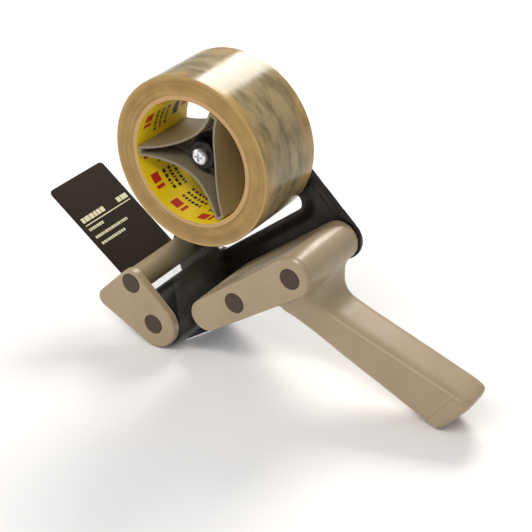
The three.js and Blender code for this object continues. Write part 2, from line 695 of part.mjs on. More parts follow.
// The free end of the tape: down from the roll, behind the roller, to just above the blade
function tapeStrip() {
  const start = along([0, 0], STRIP_START_ANGLE, ROLL_RADIUS + STRIP_GAP);
  const lowX = ROLLER[0] + ROLLER_RADIUS + CLEARANCE;
  const bend = [lowX - 3.1, -86];
  const straightFrom = ROLLER[1] + 3;
  const end = BLADE_TIP[1] - STRIP_PAST_BLADE;
  const shape = new THREE.Shape();
  shape.moveTo(start[0], start[1]);
  shape.quadraticCurveTo(bend[0], bend[1], lowX, straightFrom);
  shape.lineTo(lowX, end);
  shape.lineTo(lowX + TAPE_GAUGE, end);
  shape.lineTo(lowX + TAPE_GAUGE, straightFrom);
  shape.quadraticCurveTo(bend[0] + TAPE_GAUGE, bend[1], start[0] + TAPE_GAUGE, start[1]);
  shape.closePath();
  return prism(shape, TAPE_LOW, TAPE_HIGH, 8);
}

place('tape_strip', tapeStrip(), AMBER);

// ---- Cutting blade -----------------------------------------------------------------------------------

function cuttingBlade() {
  const shape = new THREE.Shape();
  const low = TAPE_LOW + 1;
  const teeth = Math.floor((TAPE_WIDTH - 2) / TOOTH_PITCH);
  shape.moveTo(BLADE_LENGTH, low);
  shape.lineTo(BLADE_LENGTH, low + teeth * TOOTH_PITCH);
  for (let i = teeth; i > 0; i -= 1) {
    shape.lineTo(TOOTH_DEPTH, low + i * TOOTH_PITCH);
    shape.lineTo(0, low + (i - 0.5) * TOOTH_PITCH);
  }
  shape.lineTo(TOOTH_DEPTH, low);
  shape.closePath();
  const blade = slantedPlate(shape, BLADE_TIP, BLADE_ANGLE, [-BLADE_GAUGE / 2, BLADE_GAUGE / 2]);
  return cut(blade, ...bladeScrewHoles);
}

place('cutting_blade', cuttingBlade(), STEEL);
BLADE_SCREW_Y.forEach((y, i) => {
  const under = -BLADE_GAUGE / 2 - CLEARANCE;
  place(`blade_screw_${i + 1}`, studded([
    [0, under - 1.6], [2, under - 1.6], [3, under - 0.8], [3, under], [1.4, under],
    [1.4, under + 7], [0, under + 7],
  ], BLADE_TIP, BLADE_ANGLE, BLADE_SCREW_S, y), STEEL);
});

// ---- Application roller ------------------------------------------------------------------------------

const ROLLER_LOW = BETWEEN_LOW + 0.3;
const ROLLER_HIGH = BETWEEN_HIGH - 1;
const SLEEVE_BORE = ROLLER_RADIUS - RUBBER_WALL;
const BUSH_OUTER = AXLE_RADIUS + CLEARANCE + 2.4;
const BUSH_LENGTH = 9;

place('roller_sleeve', ring(SLEEVE_BORE, ROLLER_RADIUS, ROLLER_LOW, ROLLER_HIGH, ROLLER, 48), RUBBER);
place('roller_core', turned([
  [BUSH_OUTER + CLEARANCE, ROLLER_LOW], [SLEEVE_BORE - CLEARANCE, ROLLER_LOW],
  [SLEEVE_BORE - CLEARANCE, ROLLER_HIGH], [BUSH_OUTER + CLEARANCE, ROLLER_HIGH],
  [BUSH_OUTER + CLEARANCE, ROLLER_LOW],
], ROLLER, 48), BLACK);
place('roller_bush_near',
  ring(AXLE_RADIUS + CLEARANCE, BUSH_OUTER, ROLLER_LOW, ROLLER_LOW + BUSH_LENGTH, ROLLER, 48), BRONZE);
place('roller_bush_far',
  ring(AXLE_RADIUS + CLEARANCE, BUSH_OUTER, ROLLER_HIGH - BUSH_LENGTH, ROLLER_HIGH, ROLLER, 48), BRONZE);

// A rod along Y, drilled and tapped at both ends
const drilledRod = (radius, screwRadius, axis) => cut(
  disc(radius, BETWEEN_LOW, BETWEEN_HIGH, axis, 32),
  disc(screwRadius + CLEARANCE, BETWEEN_LOW - 1, BETWEEN_LOW + 13, axis),
  disc(screwRadius + CLEARANCE, BETWEEN_HIGH - 13, BETWEEN_HIGH + 1, axis),
);
place('roller_axle', drilledRod(AXLE_RADIUS, SCREW_RADIUS, ROLLER), STEEL);
place('wiper_rod', drilledRod(ROD_RADIUS, ROD_SCREW_RADIUS, PIVOT), STEEL);

// ---- Wiper -------------------------------------------------------------------------------------------

const WIPER_LOW = BETWEEN_LOW + 0.1;
const WIPER_HIGH = BETWEEN_HIGH;
const WIPER_FACE = WIPER_OFFSET - WIPER_GAUGE / 2;
const WIPER_BACK = WIPER_OFFSET + WIPER_GAUGE / 2;
const FIRST_RIVET = WIPER_LOW + SPRING_DEPTH + RIVET_NEAR_MARGIN;
const LAST_RIVET = WIPER_HIGH - RIVET_FAR_MARGIN;
const RIVET_Y = [FIRST_RIVET, (FIRST_RIVET + LAST_RIVET) / 2, LAST_RIVET];
const rivets = (profile) =>
  RIVET_Y.map((y) => studded(profile, PIVOT, WIPER_DIRECTION, RIVET_S, y));
const RIVET_HOLE = RIVET_RADIUS + CLEARANCE;
const RIVET_FLOOR = WIPER_FACE - RIVET_DEPTH - CLEARANCE;
const rivetHoles = rivets(
  [[0, RIVET_FLOOR], [RIVET_HOLE, RIVET_FLOOR], [RIVET_HOLE, WIPER_BACK + 1], [0, WIPER_BACK + 1]]);

place('wiper_carrier', cut(
  disc(TUBE_RADIUS, WIPER_LOW, WIPER_HIGH, PIVOT, 40),
  slantedBox(PIVOT, WIPER_DIRECTION, [-20, 20], [-40, 40], [WIPER_FACE - CLEARANCE, 20]),
  disc(ROD_RADIUS + CLEARANCE, WIPER_LOW - 1, WIPER_HIGH + 1, PIVOT, 32),
  disc(ROD_RADIUS + SPRING_ROOM, WIPER_LOW - 1, WIPER_LOW + SPRING_DEPTH, PIVOT, 32),
  ...rivetHoles,
), TAUPE);

// The wiper, with its two free corners rounded
function wiperFlap() {
  const end = WIPER_START + WIPER_LENGTH;
  const corner = end - WIPER_CORNER;
  const shape = new THREE.Shape();
  shape.moveTo(WIPER_START, WIPER_LOW);
  shape.lineTo(corner, WIPER_LOW);
  shape.absarc(corner, WIPER_LOW + WIPER_CORNER, WIPER_CORNER, -Math.PI / 2, 0, false);
  shape.absarc(corner, WIPER_HIGH - WIPER_CORNER, WIPER_CORNER, 0, Math.PI / 2, false);
  shape.lineTo(WIPER_START, WIPER_HIGH);
  shape.closePath();
  const flap = slantedPlate(shape, PIVOT, WIPER_DIRECTION, [WIPER_FACE, WIPER_BACK]);
  return cut(flap, ...rivetHoles);
}

place('wiper_flap', wiperFlap(), BROWN_SATIN);
rivets([
  [0, WIPER_FACE - RIVET_DEPTH], [RIVET_RADIUS, WIPER_FACE - RIVET_DEPTH],
  [RIVET_RADIUS, WIPER_BACK + CLEARANCE], [2.6, WIPER_BACK + CLEARANCE],
  [2.4, WIPER_BACK + 0.9], [1.5, WIPER_BACK + 1.4], [0, WIPER_BACK + 1.5],
]).forEach((rivet, i) => place(`wiper_rivet_${i + 1}`, rivet, STEEL));

place('wiper_spring',
  coil(ROD_RADIUS + 1, 0.3, 5, WIPER_LOW + 0.5, WIPER_LOW + SPRING_DEPTH - 0.6, PIVOT), STEEL);

// ---- Place the assembly: origin on the ground, in the middle of its footprint ------------------------

const bounds = new THREE.Box3().setFromObject(assembly);
const centre = bounds.getCenter(new THREE.Vector3());
assembly.position.set(-centre.x, -centre.y, -bounds.min.z);

const group = new THREE.Group();
group.add(assembly);

export default group;
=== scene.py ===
"""Looks for a hand-held box sealing tape dispenser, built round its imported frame. Metres, +Z up."""

import json
import math

import bmesh
import bpy
import numpy as np
from mathutils import Matrix, Vector
from mathutils.geometry import tessellate_polygon


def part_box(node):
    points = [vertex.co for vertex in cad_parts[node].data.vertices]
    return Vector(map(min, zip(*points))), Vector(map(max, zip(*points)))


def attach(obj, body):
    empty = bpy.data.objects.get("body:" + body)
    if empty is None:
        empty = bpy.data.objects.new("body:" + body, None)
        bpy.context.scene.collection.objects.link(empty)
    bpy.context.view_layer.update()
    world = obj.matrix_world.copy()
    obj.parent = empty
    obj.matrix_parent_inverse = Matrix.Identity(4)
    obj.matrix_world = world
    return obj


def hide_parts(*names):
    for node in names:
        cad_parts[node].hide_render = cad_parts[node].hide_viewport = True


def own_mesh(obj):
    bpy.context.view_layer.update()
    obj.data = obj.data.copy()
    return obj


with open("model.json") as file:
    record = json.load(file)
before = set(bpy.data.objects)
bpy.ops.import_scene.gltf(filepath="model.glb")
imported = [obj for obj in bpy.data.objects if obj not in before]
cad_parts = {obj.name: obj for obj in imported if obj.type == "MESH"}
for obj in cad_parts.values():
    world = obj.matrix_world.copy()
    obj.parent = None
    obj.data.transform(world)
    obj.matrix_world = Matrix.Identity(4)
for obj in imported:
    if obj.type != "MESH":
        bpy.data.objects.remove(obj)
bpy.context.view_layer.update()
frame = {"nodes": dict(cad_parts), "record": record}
MM = 0.001


# ---- Places, in millimetres, read from the frame --------------------------------------------------


def box_mm(node):
    low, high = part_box(node)
    return np.array(low) / MM, np.array(high) / MM


def axis_of(node):
    """The [x, z] of a round node's axis along Y."""
    low, high = box_mm(node)
    return np.array([(low[0] + high[0]) / 2, (low[2] + high[2]) / 2])


HUB = axis_of("tape_roll")
PIVOT = axis_of("plug_pivot")
ROLLER = axis_of("plug_roller")
SCREW_FRONT = axis_of("plug_cover_front")
SCREW_REAR = axis_of("plug_cover_rear")
COVER_LOW, _ = box_mm("housing_side_cover")
PLATE_LOW, PLATE_HIGH = box_mm("front_side_plate")
FRAME_LOW, FRAME_HIGH = box_mm("frame_plate")
TAPE_LOW, TAPE_HIGH = box_mm("tape_roll")
HOUSING_LOW, HOUSING_HIGH = box_mm("handle_housing")
_, CAP_HIGH = box_mm("handle_end_cap")
MIDDLE_Y = (TAPE_LOW[1] + TAPE_HIGH[1]) / 2
TAPE_WIDTH = TAPE_HIGH[1] - TAPE_LOW[1]
ROLL_RADIUS = (TAPE_HIGH[0] - TAPE_LOW[0]) / 2


# ---- Materials --------------------------------------------------------------------------------------


def srgb(r, g, b):
    def linear(c):
        c /= 255
        return c / 12.92 if c <= 0.04045 else ((c + 0.055) / 1.055) ** 2.4
    return (linear(r), linear(g), linear(b), 1.0)


class Shader:
    """A Principled material with a few procedural helpers; textures use millimetres of the frame."""

    def __init__(self, name, colour, roughness, **sockets):
        self.material = bpy.data.materials.new(name)
        self.material.use_nodes = True
        self.material.diffuse_color = colour
        self.tree = self.material.node_tree
        self.bsdf = self.tree.nodes["Principled BSDF"]
        self.bsdf.inputs["Base Color"].default_value = colour
        self.bsdf.inputs["Roughness"].default_value = roughness
        for socket, value in sockets.items():
            self.bsdf.inputs[socket.replace("_", " ")].default_value = value
        coordinates = self.tree.nodes.new("ShaderNodeTexCoord")
        self.place = coordinates.outputs["Object"]
        self.normal = None

    def node(self, kind, inputs=(), **attributes):
        made = self.tree.nodes.new(kind)
        for key, value in attributes.items():
            setattr(made, key, value)
        for socket, value in dict(inputs).items():
            if isinstance(value, bpy.types.NodeSocket):
                self.tree.links.new(value, made.inputs[socket])
            else:
                made.inputs[socket].default_value = value
        return made

    def stretched(self, scale):
        """Object coordinates in millimetres, stretched by a factor along each axis."""
        factor = [s / MM for s in scale]
        return self.node("ShaderNodeMapping", {"Vector": self.place, "Scale": factor}).outputs[0]

    def noise(self, size, detail=2.0, scale=(1, 1, 1)):
        """Noise whose grain is about size millimetres."""
        return self.node("ShaderNodeTexNoise", {
            "Vector": self.stretched(scale), "Scale": 1.0 / size, "Detail": detail,
        }).outputs["Fac"]

    def ramp(self, fac, low, high, first=0.3, last=0.7):
        ramp = self.node("ShaderNodeValToRGB", {"Fac": fac})
        ramp.color_ramp.elements[0].position = first
        ramp.color_ramp.elements[0].color = low
        ramp.color_ramp.elements[1].position = last
        ramp.color_ramp.elements[1].color = high
        return ramp.outputs["Color"]

    def remap(self, fac, low, high, first=0.3, last=0.7):
        return self.node("ShaderNodeMapRange", {
            "Value": fac, "From Min": first, "From Max": last, "To Min": low, "To Max": high,
        }).outputs[0]

    def mix(self, fac, a, b, blend="MIX"):
        mixer = self.node("ShaderNodeMix", data_type="RGBA", blend_type=blend)
        for socket, value in (("Factor_Float", fac), ("A_Color", a), ("B_Color", b)):
            target = next(i for i in mixer.inputs if i.identifier == socket)
            if isinstance(value, bpy.types.NodeSocket):
                self.tree.links.new(value, target)
            else:
                target.default_value = value
        return next(o for o in mixer.outputs if o.identifier == "Result_Color")

    def math(self, operation, a, b=0.0):
        made = self.node("ShaderNodeMath", operation=operation)
        for i, value in enumerate((a, b)):
            if isinstance(value, bpy.types.NodeSocket):
                self.tree.links.new(value, made.inputs[i])
            else:
                made.inputs[i].default_value = value
        return made.outputs[0]

    def separate(self, vector):
        return self.node("ShaderNodeSeparateXYZ", {"Vector": vector}).outputs

    def colour(self, socket):
        self.tree.links.new(socket, self.bsdf.inputs["Base Color"])
        return self

    def roughness(self, socket):
        self.tree.links.new(socket, self.bsdf.inputs["Roughness"])
        return self

    def bump(self, height, depth):
        """Adds a relief of about depth millimetres."""
        inputs = {"Height": height, "Distance": depth * MM, "Strength": 1.0}
        if self.normal is not None:
            inputs["Normal"] = self.normal
        self.normal = self.node("ShaderNodeBump", inputs).outputs["Normal"]
        self.tree.links.new(self.normal, self.bsdf.inputs["Normal"])
        return self


def moulded_plastic(name, colour, roughness, grain=0.012, mottle=0.05, **sockets):
    """Moulded plastic: fine texture from the tool, faint cloudiness and a slightly uneven sheen."""
    s = Shader(name, colour, roughness, **sockets)
    dark = tuple(c * (1 - mottle) for c in colour[:3]) + (1,)
    light = tuple(min(1, c * (1 + mottle)) for c in colour[:3]) + (1,)
    cloud = s.ramp(s.noise(18, 3), dark, light)
    speck = s.ramp(s.noise(0.5, 2), (0.94, 0.94, 0.94, 1), (1, 1, 1, 1), 0.3, 0.6)
    s.colour(s.mix(1.0, cloud, speck, "MULTIPLY"))
    s.roughness(s.remap(s.noise(6, 4), roughness - 0.05, roughness + 0.07))
    s.bump(s.noise(0.35, 2), grain)
    s.bump(s.noise(9, 1), 0.03)
    return s.material


def brushed_metal(name, colour, roughness, along=(1, 0.05, 1), **sockets):
    s = Shader(name, colour, roughness, Metallic=1.0, **sockets)
    streak = s.noise(0.25, 3, along)
    s.roughness(s.remap(streak, roughness - 0.06, roughness + 0.12))
    s.colour(s.ramp(s.noise(4, 3), tuple(c * 0.86 for c in colour[:3]) + (1,), colour))
    s.bump(streak, 0.004)
    return s.material


TAUPE = moulded_plastic("taupe_plastic", srgb(168, 149, 118), 0.36, Specular_IOR_Level=0.5)
# The wiper tube is the same taupe plastic as the other pieces but painted darker: painted shade, as if
# the tube lay in shadow.
TUBE_PAINTED_SHADE = moulded_plastic("tube_plastic_painted_shade", srgb(146, 131, 102), 0.6, Specular_IOR_Level=0.15)
PLUG = moulded_plastic("plug_plastic", srgb(74, 60, 50), 0.5, Specular_IOR_Level=0.3)
HUB_GREY = moulded_plastic("hub_plastic", srgb(134, 121, 99), 0.42)
# The hub's web is the same plastic as its walls but painted darker: painted shade where the web lies in
# shadow inside the hub.
HUB_WEB_PAINTED_SHADE = moulded_plastic("hub_web_painted_shade", srgb(92, 81, 62), 0.55, Specular_IOR_Level=0.25)
BLACK = moulded_plastic("black_plastic", srgb(16, 15, 15), 0.4, Specular_IOR_Level=0.3)
FLAP = moulded_plastic("flap_plastic", srgb(38, 27, 19), 0.5, grain=0.006, Specular_IOR_Level=0.1)
BROWN = moulded_plastic("brown_gloss", srgb(27, 20, 16), 0.3, grain=0.002, Specular_IOR_Level=0.3,
                        Coat_Weight=0.15, Coat_Roughness=0.12)
RUBBER = moulded_plastic("roller_rubber", srgb(17, 16, 16), 0.5, grain=0.02, mottle=0.2,
                         Specular_IOR_Level=0.25)
FELT = moulded_plastic("felt", srgb(42, 41, 40), 0.9, grain=0.1, mottle=0.2)
PRINT = moulded_plastic("print_ink", srgb(226, 216, 180), 0.5, grain=0.003)
STEEL = brushed_metal("zinc_steel", srgb(190, 190, 192), 0.3)
BLADE = brushed_metal("blade_steel", srgb(215, 217, 222), 0.2)
CHROME = brushed_metal("chrome", srgb(232, 232, 235), 0.08)
BRONZE = brushed_metal("bronze", srgb(165, 130, 80), 0.4)


def about_hub(s):
    """The radius from the reel's axis and the angle about it, both in millimetres at the roll's face."""
    x, y, z = s.separate(s.stretched((1, 1, 1)))
    x, z = s.math("SUBTRACT", x, HUB[0]), s.math("SUBTRACT", z, HUB[1])
    radius = s.math("SQRT", s.math("ADD", s.math("MULTIPLY", x, x), s.math("MULTIPLY", z, z)))
    angle = s.math("MULTIPLY", s.math("ARCTAN2", z, x), ROLL_RADIUS)
    return radius, y, angle


def tape_outside():
    """The outside of the roll: clear film over many layers, grey in depth and amber at its edges."""
    s = Shader("tape_outside", srgb(150, 130, 95), 0.2, Specular_IOR_Level=0.35)
    radius, y, angle = about_hub(s)
    wound = s.node("ShaderNodeCombineXYZ", {"X": s.math("MULTIPLY", angle, 0.45), "Y": y, "Z": radius})
    streaks = s.node("ShaderNodeTexNoise", {"Vector": wound.outputs[0], "Scale": 0.16, "Detail": 5.0})
    blots = s.node("ShaderNodeTexNoise", {"Vector": wound.outputs[0], "Scale": 0.085, "Detail": 3.0})
    film = s.ramp(streaks.outputs["Fac"], srgb(126, 111, 78), srgb(168, 149, 108), 0.36, 0.64)
    amber = s.ramp(blots.outputs["Fac"], srgb(160, 112, 50), srgb(190, 152, 90), 0.3, 0.6)
    off_middle = s.math("SUBTRACT", y, MIDDLE_Y)
    edge = s.math("ABSOLUTE", s.math("DIVIDE", off_middle, TAPE_WIDTH / 2))
    ragged = s.math("ADD", edge, s.remap(blots.outputs["Fac"], -0.35, 0.35))
    film = s.mix(s.remap(ragged, 0.0, 0.85, 0.62, 1.1), film, amber)
    specks = s.ramp(s.noise(1.6, 3), (1, 1, 1, 1), (1.35, 1.3, 1.2, 1), 0.62, 0.72)
    s.colour(s.mix(1.0, film, specks, "MULTIPLY"))
    s.roughness(s.remap(streaks.outputs["Fac"], 0.15, 0.27))
    s.bump(streaks.outputs["Fac"], 0.04)
    s.bump(blots.outputs["Fac"], 0.2)
    return s.material


def tape_side():
    """The wound edges of the film: amber rings, paler and darker with the tension of each layer."""
    s = Shader("tape_side", srgb(176, 142, 84), 0.38, Specular_IOR_Level=0.35)
    radius, _, angle = about_hub(s)
    place = s.node("ShaderNodeCombineXYZ", {"X": radius, "Y": s.math("MULTIPLY", angle, 0.02)})
    rings = s.node("ShaderNodeTexNoise", {"Vector": place.outputs[0], "Scale": 0.7, "Detail": 4.0})
    wide = s.node("ShaderNodeTexNoise", {"Vector": place.outputs[0], "Scale": 0.2, "Detail": 1.0})
    fine = s.ramp(rings.outputs["Fac"], srgb(150, 119, 66), srgb(172, 139, 82), 0.34, 0.66)
    broad = s.ramp(wide.outputs["Fac"], (0.93, 0.92, 0.89, 1), (1.03, 1.03, 1.04, 1), 0.35, 0.65)
    cloud = s.ramp(s.noise(14, 2), (0.84, 0.83, 0.8, 1), (1.06, 1.05, 1.03, 1), 0.35, 0.65)
    tinted = s.mix(1.0, s.mix(1.0, fine, broad, "MULTIPLY"), cloud, "MULTIPLY")
    outer = s.remap(radius, 0.0, 0.7, ROLL_RADIUS - 2.2, ROLL_RADIUS)
    s.colour(s.mix(outer, tinted, srgb(196, 166, 110)))
    s.bump(rings.outputs["Fac"], 0.05)
    return s.material


TAPE_OUTSIDE = tape_outside()
CLEAR = Shader("tape_clear", srgb(200, 196, 184), 0.12, Alpha=0.05, Specular_IOR_Level=0.3).material
CARD = moulded_plastic("core_board", srgb(244, 222, 40), 0.55)

TAPE_SIDE = tape_side()
CORE_YELLOW = moulded_plastic("core_yellow", srgb(252, 218, 14), 0.5)
CORE_END = moulded_plastic("core_end", srgb(190, 152, 104), 0.7)
PRINT_RED = moulded_plastic("print_red", srgb(200, 40, 24), 0.5)
PRINT_BLACK = moulded_plastic("print_black", srgb(40, 34, 22), 0.5)

SLOT_MATERIALS = {
    "taupe_plastic": TAUPE, "plug_plastic": PLUG, "brown_gloss": BROWN, "flap_plastic": FLAP,
    "hub_plastic": HUB_GREY, "black_plastic": BLACK, "roller_rubber": RUBBER, "steel": STEEL,
    "blade_steel": BLADE, "chrome": CHROME, "bronze": BRONZE, "felt": FELT, "core_board": CARD,
    "tape_film": TAPE_OUTSIDE,
}
NODE_SLOT = {s["node"]: s["material_slot"] for s in frame["record"]["subparts"]}
for node, obj in frame["nodes"].items():
    obj.data.materials.clear()
    obj.data.materials.append(CLEAR if node == "tape_strip" else SLOT_MATERIALS[NODE_SLOT[node]])


# ---- Camera and light -----------------------------------------------------------------------------

CAMERA_AZIMUTH = math.radians(33.0)
CAMERA_HEIGHT = math.radians(29.87)
CAMERA_DISTANCE = 891.8 * MM
CAMERA_SIDE = -44.3 * MM  # the reel's near face sits this far off the middle of the view
CAMERA_RISE = 59.2 * MM


def add_camera():
    a, e = CAMERA_AZIMUTH, CAMERA_HEIGHT
    back = Vector((math.sin(a) * math.cos(e), -math.cos(a) * math.cos(e), math.sin(e)))
    right = Vector((math.cos(a), math.sin(a), 0))
    up = back.cross(right)
    near_face = Vector((HUB[0], TAPE_LOW[1] - 0.7, HUB[1])) * MM
    data = bpy.data.cameras.new("camera")
    data.lens = 104.73
    data.sensor_width = 36
    cam = bpy.data.objects.new("camera", data)
    bpy.context.collection.objects.link(cam)
    cam.matrix_world = Matrix((
        (right.x, up.x, back.x, 0), (right.y, up.y, back.y, 0), (right.z, up.z, back.z, 0),
        (0, 0, 0, 1),
    ))
    cam.location = near_face - right * CAMERA_SIDE - up * CAMERA_RISE + back * CAMERA_DISTANCE
    bpy.context.scene.camera = cam


def add_light(name, place, target, size, power, colour=(1, 1, 1)):
    data = bpy.data.lights.new(name, "AREA")
    data.shape = "RECTANGLE"
    data.size, data.size_y = size
    data.energy = power
    data.color = colour
    light = bpy.data.objects.new(name, data)
    bpy.context.collection.objects.link(light)
    light.location = place
    direction = Vector(target) - Vector(place)
    light.rotation_mode = "QUATERNION"
    light.rotation_quaternion = direction.to_track_quat("-Z", "Y")


def add_floor():
    size = 6.0
    mesh = bpy.data.meshes.new("floor")
    corners = [(-size, -size, 0), (size, -size, 0), (size, size, 0), (-size, size, 0)]
    mesh.from_pydata(corners, [], [(0, 1, 2, 3)])
    floor = bpy.data.objects.new("floor", mesh)
    bpy.context.collection.objects.link(floor)
    s = Shader("floor", (0.95, 0.95, 0.96, 1), 0.6)
    s.colour(s.ramp(s.noise(300, 2), (0.94, 0.94, 0.95, 1), (0.97, 0.97, 0.98, 1)))
    mesh.materials.append(s.material)


add_camera()
add_floor()
add_light("back", (-0.3, 0.95, 0.9), (0, 0, 0.08), (0.6, 0.5), 12, (1, 0.95, 0.87))
add_light("front", (0.05, -0.75, 1.0), (0, 0, 0.08), (1.3, 0.22), 7.5, (1, 0.95, 0.87))
add_light("left", (-1.0, -0.6, 0.5), (0, 0, 0.06), (0.8, 0.8), 2)
world = bpy.data.worlds.new("studio")
bpy.context.scene.world = world
world.use_nodes = True
world.node_tree.nodes["Background"].inputs["Color"].default_value = (0.84, 0.87, 0.92, 1)
world.node_tree.nodes["Background"].inputs["Strength"].default_value = 0.46
bpy.context.scene.view_settings.view_transform = "Standard"

# ---- Mesh building, in millimetres ------------------------------------------------------------------


class Shape:
    """Points and faces of one piece, with a material number for each face."""

    def __init__(self):
        self.points = []
        self.faces = []
        self.slots = []

    def add(self, points, faces, slot=0):
        start = len(self.points)
        self.points.extend(tuple(p) for p in points)
        self.faces.extend(tuple(i + start for i in face) for face in faces)
        self.slots.extend([slot] * len(faces))

    def skin(self, rings, slot=0, closed=False):
        """Joins rings of equal count, each to the next; closed also joins the last to the first."""
        count = len(rings[0])
        faces = []
        pairs = [(i, i + 1) for i in range(len(rings) - 1)]
        if closed:
            pairs.append((len(rings) - 1, 0))
        for low, high in pairs:
            for i in range(count):
                j = (i + 1) % count
                faces.append((low * count + i, low * count + j, high * count + j, high * count + i))
        self.add([p for ring in rings for p in ring], faces, slot)

    def cap(self, loops, slot=0):
        """A flat face inside the first loop and outside the others."""
        triangles = tessellate_polygon([[Vector(p) for p in loop] for loop in loops])
        self.add([p for loop in loops for p in loop], triangles, slot)

    def lathe(self, profile, axis, slot=0, count=128, closed=True):
        """Turns a profile of (radius, y) points about an axis along Y."""
        turn = np.linspace(0, 2 * np.pi, count, endpoint=False)
        rings = []
        for radius, y in profile:
            ring = np.empty((count, 3))
            ring[:, 0] = axis[0] + radius * np.cos(turn)
            ring[:, 1] = y
            ring[:, 2] = axis[1] + radius * np.sin(turn)
            rings.append(ring)
        self.skin(rings, slot, closed)

    def box(self, corner, sides, slot=0, edge=0.0):
        """A box from one corner along three side vectors, its upper edges drawn in."""
        a, b, c = (np.array(s, float) for s in sides)
        corner = np.array(corner, float)
        ua, ub, uc = (s / np.linalg.norm(s) * edge for s in (a, b, c))
        low = [corner, corner + a, corner + a + b, corner + b]
        mid = [p + c - uc for p in low]
        top = [corner + c + ua + ub, corner + a + c - ua + ub, corner + a + b + c - ua - ub,
               corner + b + c + ua - ub]
        self.skin([low, mid, top], slot)
        self.cap([top], slot)
        self.cap([low], slot)

    def object(self, name, materials, body, nodes, slot, sharp=35):
        mesh = bpy.data.meshes.new(name)
        mesh.from_pydata([tuple(c * MM for c in p) for p in self.points], [], self.faces)
        mesh.polygons.foreach_set("material_index", self.slots)
        work = bmesh.new()
        work.from_mesh(mesh)
        bmesh.ops.remove_doubles(work, verts=work.verts, dist=2e-6)
        bmesh.ops.recalc_face_normals(work, faces=work.faces)
        work.to_mesh(mesh)
        work.free()
        mesh.shade_smooth()
        mesh.set_sharp_from_angle(angle=math.radians(sharp))
        for material in materials:
            mesh.materials.append(material)
        obj = bpy.data.objects.new(name, mesh)
        bpy.context.collection.objects.link(obj)
        normals = obj.modifiers.new("flat_faces", "WEIGHTED_NORMAL")
        normals.keep_sharp = True
        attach(obj, body)
        if nodes:
            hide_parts(*nodes)
        return obj


def rounded(corners, radius, steps=5):
    """A closed 2-D outline with each corner rounded."""
    out = []
    count = len(corners)
    for i in range(count):
        here, last, following = (np.array(corners[k % count], float) for k in (i, i - 1, i + 1))
        r = radius[i] if isinstance(radius, (list, tuple)) else radius
        back, on = last - here, following - here
        reach = 0.49 * min(np.linalg.norm(back), np.linalg.norm(on))
        back, on = back / np.linalg.norm(back), on / np.linalg.norm(on)
        half = math.acos(np.clip(back @ on, -1, 1)) / 2
        if r == 0 or half > 1.56:
            out.append(tuple(here))
            continue
        cut = min(r / math.tan(half), reach)
        r = cut * math.tan(half)
        centre = here + (back + on) / np.linalg.norm(back + on) * r / math.sin(half)
        first, final = here + back * cut - centre, here + on * cut - centre
        span = math.pi - 2 * half
        for k in range(steps + 1):
            t = k / steps
            w = (math.sin((1 - t) * span) * first + math.sin(t * span) * final) / math.sin(span)
            out.append(tuple(centre + w))
    return out


def hull(circles, inset=0.0, step=math.radians(4)):
    """A belt round circles (x, z, radius), anticlockwise, with the same count at any inset."""
    count = len(circles)
    tangents = []
    for i in range(count):
        (x, z, r), (nx, nz, nr) = circles[i], circles[(i + 1) % count]
        length = math.hypot(nx - x, nz - z)
        tangents.append(math.atan2(nz - z, nx - x) - math.pi / 2 - math.asin((nr - r) / length))
    points = []
    for i, (x, z, r) in enumerate(circles):
        first, last = tangents[i - 1], tangents[i]
        while last < first:
            last += 2 * math.pi
        while last > first + 2 * math.pi:
            last -= 2 * math.pi
        steps = max(2, math.ceil((last - first) / step))
        for k in range(steps + 1):
            a = first + (last - first) * k / steps
            points.append((x + (r - inset) * math.cos(a), z + (r - inset) * math.sin(a)))
    return points


def at_y(outline, y):
    return [(x, y, z) for x, z in outline]


def circle(axis, radius, y, count=72):
    turn = np.linspace(0, 2 * np.pi, count, endpoint=False)
    return [(axis[0] + radius * math.cos(a), y, axis[1] + radius * math.sin(a)) for a in turn]


def plate(circles, near, far, edge, recesses, back_edge=0.3):
    """A flat plate whose near edge is rounded, with blind round recesses in its near face."""
    shape = Shape()
    rings = [at_y(hull(circles, back_edge), far), at_y(hull(circles), far - back_edge)]
    for k in range(7):
        a = k / 6 * math.pi / 2
        rings.append(at_y(hull(circles, edge * (1 - math.cos(a))), near + edge * (1 - math.sin(a))))
    shape.skin(rings)
    shape.cap([rings[0]])
    lips = []
    for axis, radius, depth in recesses:
        steps = [(radius + 0.35, near), (radius + 0.1, near + 0.1), (radius, near + 0.35),
                 (radius, near + depth)]
        loops = [circle(axis, r, y) for r, y in steps]
        shape.skin(loops)
        shape.cap([loops[-1]])
        lips.append(loops[0])
    shape.cap([rings[-1]] + lips)
    return shape


# ---- Smooth bodies from distance fields -------------------------------------------------------------


def capsule(p, a, ra, b, rb):
    """Signed distance from [x, z] points to the belt round two circles."""
    along = b - a
    length = np.linalg.norm(along)
    unit = along / length
    local = p - a
    x = np.abs(local @ np.array([-unit[1], unit[0]]))
    y = local @ unit
    sine = (ra - rb) / length
    cosine = math.sqrt(1 - sine * sine)
    k = -sine * x + cosine * y
    inner = x * cosine + y * sine - ra
    return np.where(k < 0, np.hypot(x, y) - ra,
                    np.where(k > cosine * length, np.hypot(x, y - length) - rb, inner))


def hull_field(p, circles):
    """Signed distance to the belt round several circles, given anticlockwise."""
    found = np.full(len(p), np.inf)
    inside = np.full(len(p), -np.inf)
    for i in range(len(circles)):
        a, b = np.array(circles[i], float), np.array(circles[(i + 1) % len(circles)], float)
        found = np.minimum(found, capsule(p, a[:2], a[2], b[:2], b[2]))
        along = (b - a)[:2] / np.linalg.norm((b - a)[:2])
        inside = np.maximum(inside, (p - a[:2]) @ np.array([along[1], -along[0]]))
    if len(circles) < 3:
        return found
    return np.where(inside < 0, np.minimum(found, inside), found)


def smooth_min(a, b, k):
    h = np.clip(0.5 + 0.5 * (b - a) / k, 0, 1)
    return b * (1 - h) + a * h - k * h * (1 - h)


